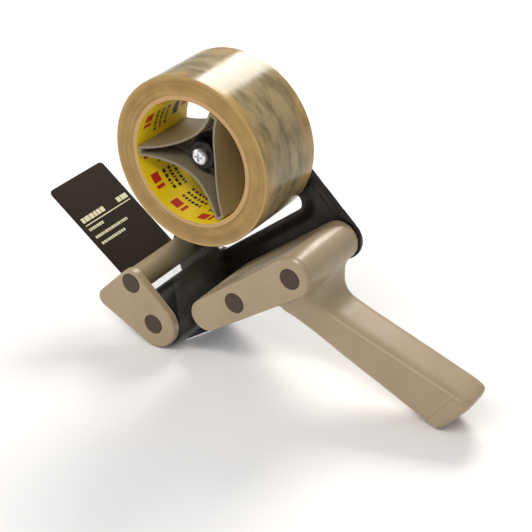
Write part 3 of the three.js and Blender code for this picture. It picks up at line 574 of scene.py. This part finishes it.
def smooth_max(a, b, k):
    return -smooth_min(-a, -b, k)


def rounded_both(a, b, r):
    """Distance to what lies in both a and b, with a rounded edge between them."""
    a, b = a + r, b + r
    return np.minimum(np.maximum(a, b), 0) + np.hypot(np.maximum(a, 0), np.maximum(b, 0)) - r


def in_chunks(field, points, size=40000):
    return np.concatenate([field(points[i:i + size]) for i in range(0, len(points), size)])


def skin_of(field, low, high, step):
    """Points and quads of the surface where a field is 0."""
    axes = [np.arange(a - 1.5 * s, b + 1.5 * s, s) for a, b, s in zip(low, high, step)]
    grid = np.stack(np.meshgrid(*axes, indexing="ij"), -1)
    inside = (in_chunks(field, grid.reshape(-1, 3)) < 0).reshape(grid.shape[:3])
    nx, ny, nz = (n - 1 for n in inside.shape)
    corners = sum(inside[i:nx + i, j:ny + j, k:nz + k].astype(int)
                  for i in (0, 1) for j in (0, 1) for k in (0, 1))
    active = (corners > 0) & (corners < 8)
    number = np.full(active.shape, -1)
    number[active] = np.arange(active.sum())
    points = grid[:-1, :-1, :-1][active] + np.array(step) / 2
    quads = []
    for axis in range(3):
        first, second = [a for a in range(3) if a != axis]
        ahead = np.moveaxis(inside, (axis, first, second), (0, 1, 2))
        cells = np.moveaxis(number, (axis, first, second), (0, 1, 2))
        change = ahead[:-1, 1:-1, 1:-1] != ahead[1:, 1:-1, 1:-1]
        i, j, k = np.nonzero(change)
        quads.append(np.stack([cells[i, j, k], cells[i, j + 1, k], cells[i, j + 1, k + 1],
                               cells[i, j, k + 1]], -1))
    nudge = 0.02
    for _ in range(4):
        value = in_chunks(field, points)
        slope = np.stack([
            (in_chunks(field, points + np.eye(3)[a] * nudge) - value) / nudge for a in range(3)
        ], -1)
        size = np.maximum((slope ** 2).sum(-1), 0.2)
        move = slope * (value / size)[:, None]
        points = points - np.clip(move, -min(step), min(step))
    return points, np.concatenate(quads)


# ---- Handle and housing -----------------------------------------------------------------------------

NOSE = np.array([COVER_LOW[0] + 10.3, COVER_LOW[2] + 10.3])
NOSE_RADIUS = 10.3
REAR_RADIUS = 12.3
HOUSING = [(*NOSE, NOSE_RADIUS), (*SCREW_REAR, REAR_RADIUS)]
PLUG_RADIUS = 6.2

# Handle sections from the housing to the end: [x, z] from the reel's axis at the front and at the
# back, and the width along Y
HANDLE_SECTIONS = [
    ((58, -76), (78, -58), 50),
    ((60, -82), (81, -65.5), 46),
    ((65.5, -87.6), (84, -72.5), 36.5),
    ((73, -92.9), (90, -77), 31),
    ((84, -98.6), (100, -80.6), 29.6),
    ((98, -105.4), (113.5, -85.2), 29.6),
    ((112, -111.8), (127, -89.6), 29.6),
    ((130, -119.9), (146, -95.8), 29.6),
    ((147, -127.8), (164, -101.8), 29.6),
    ((153, -130.4), (172.2, -104.6), 29.6),
    ((157, -132.2), (177.6, -107), 29.2),
    ((160.5, -133.5), (180.2, -109.2), 27.8),
    ((164, -132.4), (180.6, -112.2), 22.5),
]
HANDLE_MIDDLE_Y = HOUSING_HIGH[1] - 28.5
SEAM = 9  # the end cap starts at this section


def spline(values, count):
    """A smooth curve through rows of values."""
    values = np.array(values, float)
    padded = np.concatenate([values[:1] * 2 - values[1:2], values, values[-1:] * 2 - values[-2:-1]])
    t = np.linspace(0, len(values) - 1 - 1e-6, count)
    i = t.astype(int)
    f = (t - i)[:, None]
    p0, p1, p2, p3 = (padded[i + k] for k in range(4))
    return 0.5 * (2 * p1 + (p2 - p0) * f + (2 * p0 - 5 * p1 + 4 * p2 - p3) * f ** 2
                  + (3 * p1 - p0 - 3 * p2 + p3) * f ** 3)


SECTION_ROWS = spline([(*front, *back, width) for front, back, width in HANDLE_SECTIONS], 97)
SECTION_FRONT = SECTION_ROWS[:, 0:2] + HUB
SECTION_BACK = SECTION_ROWS[:, 2:4] + HUB
SECTION_MIDDLE = (SECTION_FRONT + SECTION_BACK) / 2
SECTION_LINE = SECTION_BACK - SECTION_FRONT
SECTION_DEPTH = np.linalg.norm(SECTION_LINE, axis=1)
SECTION_ALONG = np.stack([SECTION_LINE[:, 1], -SECTION_LINE[:, 0]], -1) / SECTION_DEPTH[:, None]
SQUARENESS = 4.5
HANDLE_END_EDGE = 2.5
HANDLE_BLEND = 5.5  # width of the smooth join between handle and housing
HANDLE_GRID = 1.3
HOUSING_EDGE = 0.7
SEAM_GAP = 0.35
SEAM_BEVEL = 0.4


def handle_field(p):
    flat = p[:, [0, 2]]
    past = np.einsum("pjk,jk->pj", flat[:, None, :] - SECTION_MIDDLE[None], SECTION_ALONG)
    behind = np.clip((past > 0).sum(1), 1, len(SECTION_ALONG) - 1)
    rows = np.arange(len(p))
    before, after = past[rows, behind - 1], past[rows, behind]
    f = np.clip(before / np.maximum(before - after, 1e-6), 0, 1)[:, None]

    def between(values):
        values = values.reshape(len(SECTION_ALONG), -1)
        return values[behind - 1] * (1 - f) + values[behind] * f

    across = between(SECTION_LINE)
    depth = np.linalg.norm(across, axis=1)
    u = ((flat - between(SECTION_MIDDLE)) * across).sum(1) / depth
    v = p[:, 1] - HANDLE_MIDDLE_Y
    half_depth, half_width = depth / 2, between(SECTION_ROWS[:, 4])[:, 0] / 2
    gauge = (np.abs(u / half_depth) ** SQUARENESS + np.abs(v / half_width) ** SQUARENESS)
    gauge = np.maximum(gauge, 1e-6) ** (1 / SQUARENESS)
    radial = np.hypot(u, v) * (1 - 1 / gauge)
    radial = np.maximum(radial, -np.minimum(half_depth, half_width))
    return rounded_both(radial, np.maximum(past[:, -1], -past[:, 0]), HANDLE_END_EDGE)


def housing_field(p):
    side = hull_field(p[:, [0, 2]], HOUSING)
    middle = (HOUSING_LOW_Y + HOUSING_HIGH_Y) / 2
    slab = np.abs(p[:, 1] - middle) - (HOUSING_HIGH_Y - HOUSING_LOW_Y) / 2
    return rounded_both(side, slab, HOUSING_EDGE)


HOUSING_LOW_Y = COVER_LOW[1] + 3.8
HOUSING_HIGH_Y = HOUSING_HIGH[1]
RIB_COUNT = 19
RIB_FIRST = 4
RIB_PITCH = 3.8
RIB_SIZE = (2.0, 1.6, 1.35)  # along the housing, across it and out of it
RIB_SUNK = 0.8
RIB_EDGE = 0.35


def handle_and_housing_field(p):
    return smooth_min(housing_field(p), handle_field(p), HANDLE_BLEND)


def add_handle():
    points, quads = skin_of(handle_and_housing_field, HOUSING_LOW - (0, 0.5, 1),
                            (CAP_HIGH[0] + 2, HOUSING_HIGH[1] + 0.5, HOUSING_HIGH[2] + 1),
                            (HANDLE_GRID,) * 3)
    points[:, 1] = np.clip(points[:, 1], HOUSING_LOW_Y, HOUSING_HIGH_Y)
    points[:, 2] = np.maximum(points[:, 2], 0.02)
    front, back, _ = HANDLE_SECTIONS[SEAM]
    seam_at = np.array(front) + HUB
    line = np.array(back) - np.array(front)
    normal = np.array([line[1], 0, -line[0]]) / np.linalg.norm(line)
    for name, side, node, gap in (("handle_body", 1, "handle_housing", 0.0),
                                  ("end_cap", -1, "handle_end_cap", SEAM_GAP)):
        shape = Shape()
        shape.add(points, quads.tolist())
        if side > 0:
            add_ribs(shape)
        obj = shape.object(name, [TAUPE], "frame", [node], "taupe_plastic", sharp=60)
        work = bmesh.new()
        work.from_mesh(obj.data)
        cut = bmesh.ops.bisect_plane(
            work, geom=work.verts[:] + work.edges[:] + work.faces[:], dist=1e-6,
            plane_co=Vector((seam_at[0], 0, seam_at[1])) * MM + Vector(normal) * gap * MM,
            plane_no=Vector(normal) * side, clear_outer=True)
        edges = [e for e in cut["geom_cut"] if isinstance(e, bmesh.types.BMEdge)]
        rim = bmesh.ops.edgeloop_fill(work, edges=edges)["faces"]
        bmesh.ops.inset_region(work, faces=rim, thickness=SEAM_BEVEL * MM, depth=SEAM_BEVEL * MM)
        work.to_mesh(obj.data)
        work.free()


def add_ribs(shape):
    """Small ribs on the housing's top edge, beside the seam of the side cover."""
    run = SCREW_REAR - NOSE
    angle = math.atan2(run[1], run[0])
    angle += math.asin((REAR_RADIUS - NOSE_RADIUS) / np.linalg.norm(run))
    along = np.array([math.cos(angle), 0, math.sin(angle)])
    out = np.array([-math.sin(angle), 0, math.cos(angle)])
    start = np.array([NOSE[0], HOUSING_LOW_Y, NOSE[1]]) + out * (NOSE_RADIUS - RIB_SUNK)
    length, width, height = RIB_SIZE
    for i in range(RIB_COUNT):
        corner = start + along * (RIB_FIRST + i * RIB_PITCH)
        shape.box(corner, (along * length, (0, width, 0), out * height), edge=RIB_EDGE)


add_handle()


# ---- Side cover, front plate and plugs --------------------------------------------------------------

PLATE_CIRCLES = [
    (PLATE_LOW[0] + 6.5, FRAME_LOW[2] + 23, 6.5),
    (*ROLLER, 16),
    (*PIVOT, 8.7),
]
RECESS = PLUG_RADIUS + 0.35
RECESS_DEPTH = 1.5
COVER_THICKNESS = 3.6
COVER_EDGE = 0.9
PLATE_EDGE = 1.5


def add_side_plates():
    cover_far = COVER_LOW[1] + COVER_THICKNESS
    cover = plate(HOUSING, COVER_LOW[1], cover_far, COVER_EDGE,
                  [(axis, RECESS, RECESS_DEPTH) for axis in (SCREW_FRONT, SCREW_REAR)])
    cover.object("cover", [TAUPE], "frame", ["housing_side_cover"], "taupe_plastic")
    front = plate(PLATE_CIRCLES, PLATE_LOW[1], PLATE_HIGH[1], PLATE_EDGE,
                  [(axis, RECESS, RECESS_DEPTH) for axis in (PIVOT, ROLLER)])
    front.object("front_plate", [TAUPE], "frame", ["front_side_plate"], "taupe_plastic")


add_side_plates()


def add_plug(node):
    low, high = box_mm(node)
    shape = Shape()
    near = low[1]
    profile = [(0, near + 0.06), (PLUG_RADIUS - 1.1, near + 0.04), (PLUG_RADIUS - 0.7, near)]
    profile += [(PLUG_RADIUS - 0.3, near), (PLUG_RADIUS - 0.08, near + 0.1), (PLUG_RADIUS, near + 0.35)]
    profile += [(PLUG_RADIUS, high[1]), (0, high[1])]
    shape.lathe(profile, axis_of(node), closed=False, count=96)
    shape.object(node + "_disc", [PLUG], "frame", [node], "plug_plastic")


for plug in ("plug_pivot", "plug_roller", "plug_cover_front", "plug_cover_rear"):
    add_plug(plug)


# ---- Frame plate ------------------------------------------------------------------------------------

FRAME_OUTLINE = [
    (*PIVOT, 10),
    (ROLLER[0], ROLLER[1] + 2, 18),
    (*SCREW_REAR, 13.5),
    (*HUB, 23),
]
WINDOW_LOOP = [
    (HUB[0] + x, HUB[1] + z, 6) for x, z in ((-15.5, -80.2), (38.2, -37), (22, -22.7), (-13, -35))
]
RIM_FACE = FRAME_LOW[1]
RIM_HEIGHT = 2
RIM_WIDTH = 4.5
CHANNEL_FACE = RIM_FACE + RIM_HEIGHT
FRAME_BACK = FRAME_HIGH[1]
FRAME_EDGE = 0.5
GROOVE_IN = 5.4  # from the outline to the middle of the groove in the channel
GROOVE_WIDTH = 0.45
GROOVE_DEPTH = 0.45
LIP_REACH = 5.5  # from the window to the middle of the slope down to the channel
LIP_SLOPE = 7
BOSS_RADIUS = 17
CLEAR_OF_HOUSING = 1.6
ARM_FRONT = 19.4  # the rim starts this far in front of the reel's axis
RIM_ABOVE = 5  # and this far above the housing's middle line
STEP_WIDTH = 0.8


def step_at(d, where, width):
    """Rises from 0 to 1 as d passes a place, over a width."""
    t = np.clip((d - where) / width + 0.5, 0, 1)
    return t * t * (3 - 2 * t)


def frame_field(p):
    flat = p[:, [0, 2]]
    outer = hull_field(flat, FRAME_OUTLINE)
    window = hull_field(flat, WINDOW_LOOP)
    clear_of_housing = step_at(hull_field(flat, HOUSING), CLEAR_OF_HOUSING, STEP_WIDTH)
    behind_front = step_at(flat[:, 0], HUB[0] - ARM_FRONT, STEP_WIDTH)
    run = (SCREW_REAR - NOSE) / np.linalg.norm(SCREW_REAR - NOSE)
    above = step_at((flat - NOSE) @ np.array([-run[1], run[0]]), RIM_ABOVE, 1)
    raised = clear_of_housing * behind_front * above
    rim = step_at(outer, -RIM_WIDTH, 0.7)
    lip = 1 - step_at(window, LIP_REACH, LIP_SLOPE)
    boss = 1 - step_at(np.hypot(*(flat - HUB).T), BOSS_RADIUS, STEP_WIDTH)
    height = np.maximum(np.maximum(rim, lip) * raised, boss)
    groove = np.exp(-((outer + GROOVE_IN) / GROOVE_WIDTH) ** 2) * GROOVE_DEPTH * raised
    face = (CHANNEL_FACE + groove - RIM_HEIGHT * height) - p[:, 1]
    edge = smooth_max(outer, -window, 0.3)
    body = rounded_both(edge, face, FRAME_EDGE)
    return rounded_both(body, p[:, 1] - FRAME_BACK, FRAME_EDGE)


def add_frame():
    points, quads = skin_of(frame_field, FRAME_LOW - 0.6, FRAME_HIGH + 0.6, (0.9, 0.6, 0.9))
    points[:, 1] = np.clip(points[:, 1], RIM_FACE, FRAME_BACK)
    shape = Shape()
    shape.add(points, quads.tolist())
    shape.object("frame_casting", [BROWN], "frame", ["frame_plate"], "brown_gloss", sharp=70)


add_frame()


# ---- Tape, core and its print -----------------------------------------------------------------------

CORE_BORE = 38.1
CORE_RADIUS = 41.1
TAPE_NEAR, TAPE_FAR = TAPE_LOW[1], TAPE_HIGH[1]
CORE_REPEAT = 30  # degrees from one print to the next
# Solid marks of one print: first and last angle, lowest and highest distance from the edge, material
CORE_MARKS = [(0, 0.16, 5, 12, 2), (0.2, 0.26, 5, 12, 2), (0.05, 0.3, 34, 39, 3), (0.1, 0.22, 42, 47, 2)]
CORE_ROWS = (16, 21, 26)
ROW_FIRST, ROW_LAST, ROW_HEIGHT = 0.02, 0.4, 2.4
WORD_SHORTEST, WORD_SPREAD, WORD_GAP = 0.02, 0.05, 0.022
RING_COUNT = 34
RING_LOWEST, RING_SPREAD = 0.02, 0.07  # how far the wound edges lie below the roll's side


def add_tape():
    shape = Shape()
    near, far = TAPE_NEAR, TAPE_FAR
    inner, outer = CORE_RADIUS + 0.05, ROLL_RADIUS
    rng = np.random.default_rng(5)
    side = []
    for k in range(1, RING_COUNT):
        r = inner + (outer - inner) * k / RING_COUNT
        side.append((r, RING_LOWEST + RING_SPREAD * rng.random() ** 2))
    near_side = [(r, near + d) for r, d in side]
    far_side = [(r, far - d) for r, d in reversed(side)]
    shape.lathe([(inner, near + 0.2)] + near_side + [(outer - 0.2, near + 0.03)], HUB, 1, 256, False)
    outside = [(outer - 0.2, near + 0.03), (outer, near + 0.25)]
    outside += [(outer, near + (far - near) * k / 12) for k in range(1, 12)]
    outside += [(outer, far - 0.25), (outer - 0.2, far - 0.03)]
    shape.lathe(outside, HUB, 0, 256, False)
    shape.lathe([(outer - 0.2, far - 0.03)] + far_side + [(inner, far - 0.2)], HUB, 1, 256, False)
    shape.lathe([(inner, far - 0.2), (inner, near + 0.2)], HUB, 1, 256, False)
    shape.object("tape_winding", [TAPE_OUTSIDE, TAPE_SIDE], "tape", ["tape_roll"], "tape_film", sharp=50)


def add_core():
    shape = Shape()
    near, far = TAPE_NEAR, TAPE_FAR
    profile = rounded([(CORE_BORE, near), (CORE_RADIUS, near), (CORE_RADIUS, far), (CORE_BORE, far)], 0.4)
    shape.lathe([p for p in profile if p[0] > CORE_BORE + 0.2], HUB, 1, 192, False)
    shape.lathe([(CORE_BORE + 0.21, far - 0.05), (CORE_BORE, far - 0.4), (CORE_BORE, near + 0.4),
                 (CORE_BORE + 0.21, near + 0.05)], HUB, 0, 192, False)
    rng = np.random.default_rng(11)
    for turn in range(0, 360, CORE_REPEAT):
        start = math.radians(turn)
        for first, last, low, high, slot in CORE_MARKS:
            add_patch(shape, start + first, start + last, near + low, near + high, slot)
        for y in CORE_ROWS:
            a = start + ROW_FIRST
            while a < start + ROW_LAST:
                length = WORD_SHORTEST + WORD_SPREAD * rng.random()
                add_patch(shape, a, a + length, near + y, near + y + ROW_HEIGHT, 3)
                a += length + WORD_GAP
    shape.object("core_tube", [CORE_YELLOW, CORE_END, PRINT_RED, PRINT_BLACK], "tape",
                 ["tape_core"], "core_board")


def add_patch(shape, first, last, near, far, slot):
    """A printed patch on the inside of the core."""
    radius = CORE_BORE - 0.03
    steps = max(2, math.ceil((last - first) / 0.05))
    points = []
    for k in range(steps + 1):
        a = first + (last - first) * k / steps
        for y in (near, far):
            points.append((HUB[0] + radius * math.cos(a), y, HUB[1] + radius * math.sin(a)))
    shape.add(points, [(2 * k, 2 * k + 1, 2 * k + 3, 2 * k + 2) for k in range(steps)], slot)


add_tape()
add_core()


# ---- Reel hub and brake cup -------------------------------------------------------------------------

HUB_BOX_LOW, HUB_BOX_HIGH = box_mm("reel_hub")
HUB_TIP = 37.3
WALL_ARC = 63.0
WALL_CENTRE = 76.4
HUB_WALL = 1.7
FIRST_TIP = math.radians(63.3)
HUB_DISH = 11.0
HUB_BORE = 8.2
WEB_FRONT = HUB_BOX_LOW[1] + 21.4
WEB_THICKNESS = 3
SLEEVE_RADIUS = 10


def star(inset):
    """The star's outline about the hub's axis, with the same count at any inset."""
    arc, tip = WALL_ARC + inset, HUB_TIP - inset
    cosine = (tip ** 2 + WALL_CENTRE ** 2 - arc ** 2) / (2 * tip * WALL_CENTRE)
    half_gap = math.acos(cosine)
    points = []
    for i in range(3):
        middle = FIRST_TIP + (i + 0.5) * 2 * math.pi / 3
        centre = np.array([math.cos(middle), math.sin(middle)]) * WALL_CENTRE
        ends = []
        for sign in (-1, 1):
            p = np.array([math.cos(middle + sign * half_gap), math.sin(middle + sign * half_gap)]) * tip
            ends.append(math.atan2(*(p - centre)[::-1]))
        if ends[0] < ends[1]:
            ends[0] += 2 * math.pi
        for a in np.linspace(ends[0], ends[1], 41):
            points.append(centre + arc * np.array([math.cos(a), math.sin(a)]))
        first, last = middle + half_gap, middle - half_gap + 2 * math.pi / 3
        for a in np.linspace(first, last, 7)[1:-1]:
            points.append(tip * np.array([math.cos(a), math.sin(a)]))
    return np.array(points)


def add_hub():
    shape = Shape()
    low, high = HUB_BOX_LOW[1], HUB_BOX_HIGH[1]

    def ring(inset, y=None, back=0.0):
        outline = star(inset)
        radius = np.linalg.norm(outline, axis=1)
        front = low + HUB_DISH * (1 - radius / HUB_TIP) + back
        level = front if y is None else np.full(len(outline), y)
        return np.stack([HUB[0] + outline[:, 0], np.maximum(level, low), HUB[1] + outline[:, 1]], -1)

    inner = HUB_WALL
    rings = [
        ring(inner + 1.2, WEB_FRONT), ring(inner + 0.35, WEB_FRONT - 0.35), ring(inner, WEB_FRONT - 1.2),
        ring(inner, back=0.5), ring(inner - 0.15, back=0.15), ring(inner - 0.5), ring(0.5),
        ring(0.15, back=0.15), ring(0, back=0.5), ring(0, high - 0.3), ring(0.3, high),
        ring(inner - 0.3, high), ring(inner, high - 0.3), ring(inner, WEB_FRONT + WEB_THICKNESS),
    ]
    shape.skin(rings)
    back = WEB_FRONT + WEB_THICKNESS
    bore = [circle(HUB, HUB_BORE, y, 96) for y in (WEB_FRONT, back)]
    shape.skin(bore)
    # The web's front face takes the second, darker material: painted shade.
    shape.cap([rings[0], bore[0]], 1)
    shape.cap([rings[-1], bore[-1]])
    sleeve = [(HUB_BORE, back), (HUB_BORE, high), (SLEEVE_RADIUS - 0.3, high)]
    sleeve += [(SLEEVE_RADIUS, high - 0.3), (SLEEVE_RADIUS, back)]
    shape.lathe(sleeve, HUB, closed=False, count=96)
    shape.object("star_hub", [HUB_GREY, HUB_WEB_PAINTED_SHADE], "hub", ["reel_hub"], "hub_plastic", sharp=40)


CUP_RADIUS = 9
CUP_WALL = 1.4
CUP_BORE = 3.1


def add_cup():
    low, high = box_mm("pressure_cup")
    shape = Shape()
    inner, floor = CUP_RADIUS - CUP_WALL, low[1] + CUP_WALL
    outline = [(CUP_BORE, low[1]), (CUP_RADIUS, low[1]), (CUP_RADIUS, high[1]), (inner, high[1]),
               (inner, floor), (CUP_BORE, floor)]
    shape.lathe(rounded(outline, [0.2, 1.2, 0.4, 0.3, 0.5, 0.2]), HUB, count=96)
    shape.object("brake_cup_body", [BLACK], "brake_cup", ["pressure_cup"], "black_plastic")


SPRING_TURNS = 2.6
SPRING_WIRE = 0.5
SPRING_STEPS = 130


def add_brake_spring():
    """The spring between the cup and the washer, attached to the cup's body."""
    low, high = box_mm("tension_spring")
    radius = (high[2] - low[2]) / 2 - SPRING_WIRE
    length = high[1] - low[1] - 2 * SPRING_WIRE
    lean = math.atan2(length, 2 * math.pi * SPRING_TURNS * radius)
    rings = []
    turn = np.linspace(0, 2 * np.pi, 12, endpoint=False)
    for k in range(SPRING_STEPS + 1):
        a = k / SPRING_STEPS * SPRING_TURNS * 2 * math.pi
        y = low[1] + SPRING_WIRE + length * k / SPRING_STEPS
        out = np.array([math.cos(a), 0, math.sin(a)])
        side = np.array([math.sin(lean) * math.sin(a), math.cos(lean), -math.sin(lean) * math.cos(a)])
        centre = np.array([HUB[0], y, HUB[1]]) + out * radius
        rings.append([centre + (out * math.cos(t) + side * math.sin(t)) * SPRING_WIRE for t in turn])
    shape = Shape()
    shape.skin(rings)
    shape.cap([rings[0]])
    shape.cap([rings[-1]])
    obj = shape.object("brake_spring", [STEEL], "brake_cup", ["tension_spring"], "steel", sharp=60)
    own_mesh(obj)


add_hub()
add_cup()
add_brake_spring()


# ---- Wiper flap and tube ----------------------------------------------------------------------------

FLAP_ANGLE = math.radians(143)
FLAP_ALONG = np.array([math.cos(FLAP_ANGLE), 0, math.sin(FLAP_ANGLE)])
FLAP_OUT = np.array([-math.sin(FLAP_ANGLE), 0, math.cos(FLAP_ANGLE)])
FLAP_START, FLAP_LENGTH = -6.0, 84.5
FLAP_FACE, FLAP_BACK = 5.35, 6.85
FLAP_LOW, FLAP_HIGH = box_mm("wiper_flap")


# Printed bars across the flap: place along it, first and last distance from its near edge, width, and
# the length of the blocks the bar is broken into
FLAP_PRINT = [
    (46.6, 3.2, 48.6, 0.7, 100),
    (49.0, 3.2, 25.5, 3.6, 3.4),
    (48.8, 38.5, 49.0, 3.6, 5.0),
    (42.6, 3.2, 17.0, 1.9, 1.5),
    (36.4, 3.2, 35.5, 1.9, 1.5),
    (31.2, 3.8, 27.5, 1.8, 1.5),
]
BLOCK_GAP = 0.55


def on_flap(s, y, n):
    return np.array([PIVOT[0], 0, PIVOT[1]]) + FLAP_ALONG * s + FLAP_OUT * n + np.array([0, y, 0])


def add_flap():
    low, high = FLAP_LOW[1], FLAP_HIGH[1]
    end = FLAP_START + FLAP_LENGTH
    rings = []
    for inset, n in ((0.35, FLAP_FACE), (0.1, FLAP_FACE + 0.1), (0, FLAP_FACE + 0.35),
                     (0, FLAP_BACK - 0.35), (0.1, FLAP_BACK - 0.1), (0.35, FLAP_BACK)):
        corners = [(FLAP_START + inset, low + inset), (end - inset, low + inset),
                   (end - inset, high - inset), (FLAP_START + inset, high - inset)]
        outline = rounded(corners, [1, 3 - inset, 3 - inset, 1], 8)
        rings.append([on_flap(s, y, n) for s, y in outline])
    shape = Shape()
    shape.skin(rings)
    shape.cap([rings[0]])
    shape.cap([rings[-1]])
    face = FLAP_FACE - 0.02
    rng = np.random.default_rng(3)
    for s, first, last, wide, block in FLAP_PRINT:
        y = first
        while y < last - 0.4:
            length = min(last - y, block * (0.6 + 0.8 * rng.random()))
            corner = on_flap(s, low + y, face)
            shape.box(corner, (FLAP_ALONG * wide, (0, length, 0), FLAP_OUT * 0.3), 1)
            y += length + BLOCK_GAP
    shape.object("flap_sheet", [FLAP, PRINT], "wiper", ["wiper_flap"], "flap_plastic")


TUBE_RADIUS = 7.8
TUBE_BORE = 3.3
POCKET_RADIUS = 4.6  # for the return spring, at the near end
POCKET_DEPTH = 11


def add_tube():
    low, high = box_mm("wiper_carrier")
    flat = FLAP_FACE - 0.3
    start = math.asin(flat / TUBE_RADIUS)
    outline = []
    for k in range(73):
        a = start - (math.pi + 2 * start) * k / 72
        outline.append((TUBE_RADIUS * math.cos(a), TUBE_RADIUS * math.sin(a)))
    shape = Shape()
    rings = []
    for shrink, y in ((0.93, low[1]), (0.98, low[1] + 0.1), (1, low[1] + 0.5), (1, high[1] - 0.5),
                      (0.98, high[1] - 0.1), (0.93, high[1])):
        rings.append([on_flap(s * shrink, y, n * shrink) for s, n in outline])
    steps = [(POCKET_RADIUS, low[1]), (POCKET_RADIUS, low[1] + POCKET_DEPTH),
             (TUBE_BORE, low[1] + POCKET_DEPTH), (TUBE_BORE, high[1])]
    bore = [circle(PIVOT, radius, y) for radius, y in steps]
    shape.skin(rings)
    shape.skin(bore)
    shape.cap([rings[0], bore[0]])
    shape.cap([rings[-1], bore[-1]])
    # The tube takes the darker taupe material, which is painted shade.
    shape.object("wiper_tube", [TUBE_PAINTED_SHADE], "wiper", ["wiper_carrier"], "taupe_plastic")


add_flap()
add_tube()


# ---- Roller -----------------------------------------------------------------------------------------


ROLLER_RADIUS = 17
ROLLER_BORE = 14


def add_roller():
    low, high = box_mm("roller_sleeve")
    outline = [(ROLLER_BORE, low[1]), (ROLLER_RADIUS, low[1]), (ROLLER_RADIUS, high[1]),
               (ROLLER_BORE, high[1])]
    shape = Shape()
    shape.lathe(rounded(outline, [0.3, 0.8, 0.8, 0.3]), ROLLER, count=160)
    shape.object("roller_rubber", [RUBBER], "roller", ["roller_sleeve"], "roller_rubber")


add_roller()


# ---- Small pieces -----------------------------------------------------------------------------------


SMALL_EDGE = 0.15


def dress_cad_nodes():
    """Softened edges for the small pieces that stay as they were packed."""
    for obj in frame["nodes"].values():
        edge = obj.modifiers.new("edges", "BEVEL")
        edge.width = SMALL_EDGE * MM
        edge.segments = 2
        edge.limit_method = "ANGLE"
        edge.angle_limit = math.radians(50)


dress_cad_nodes()
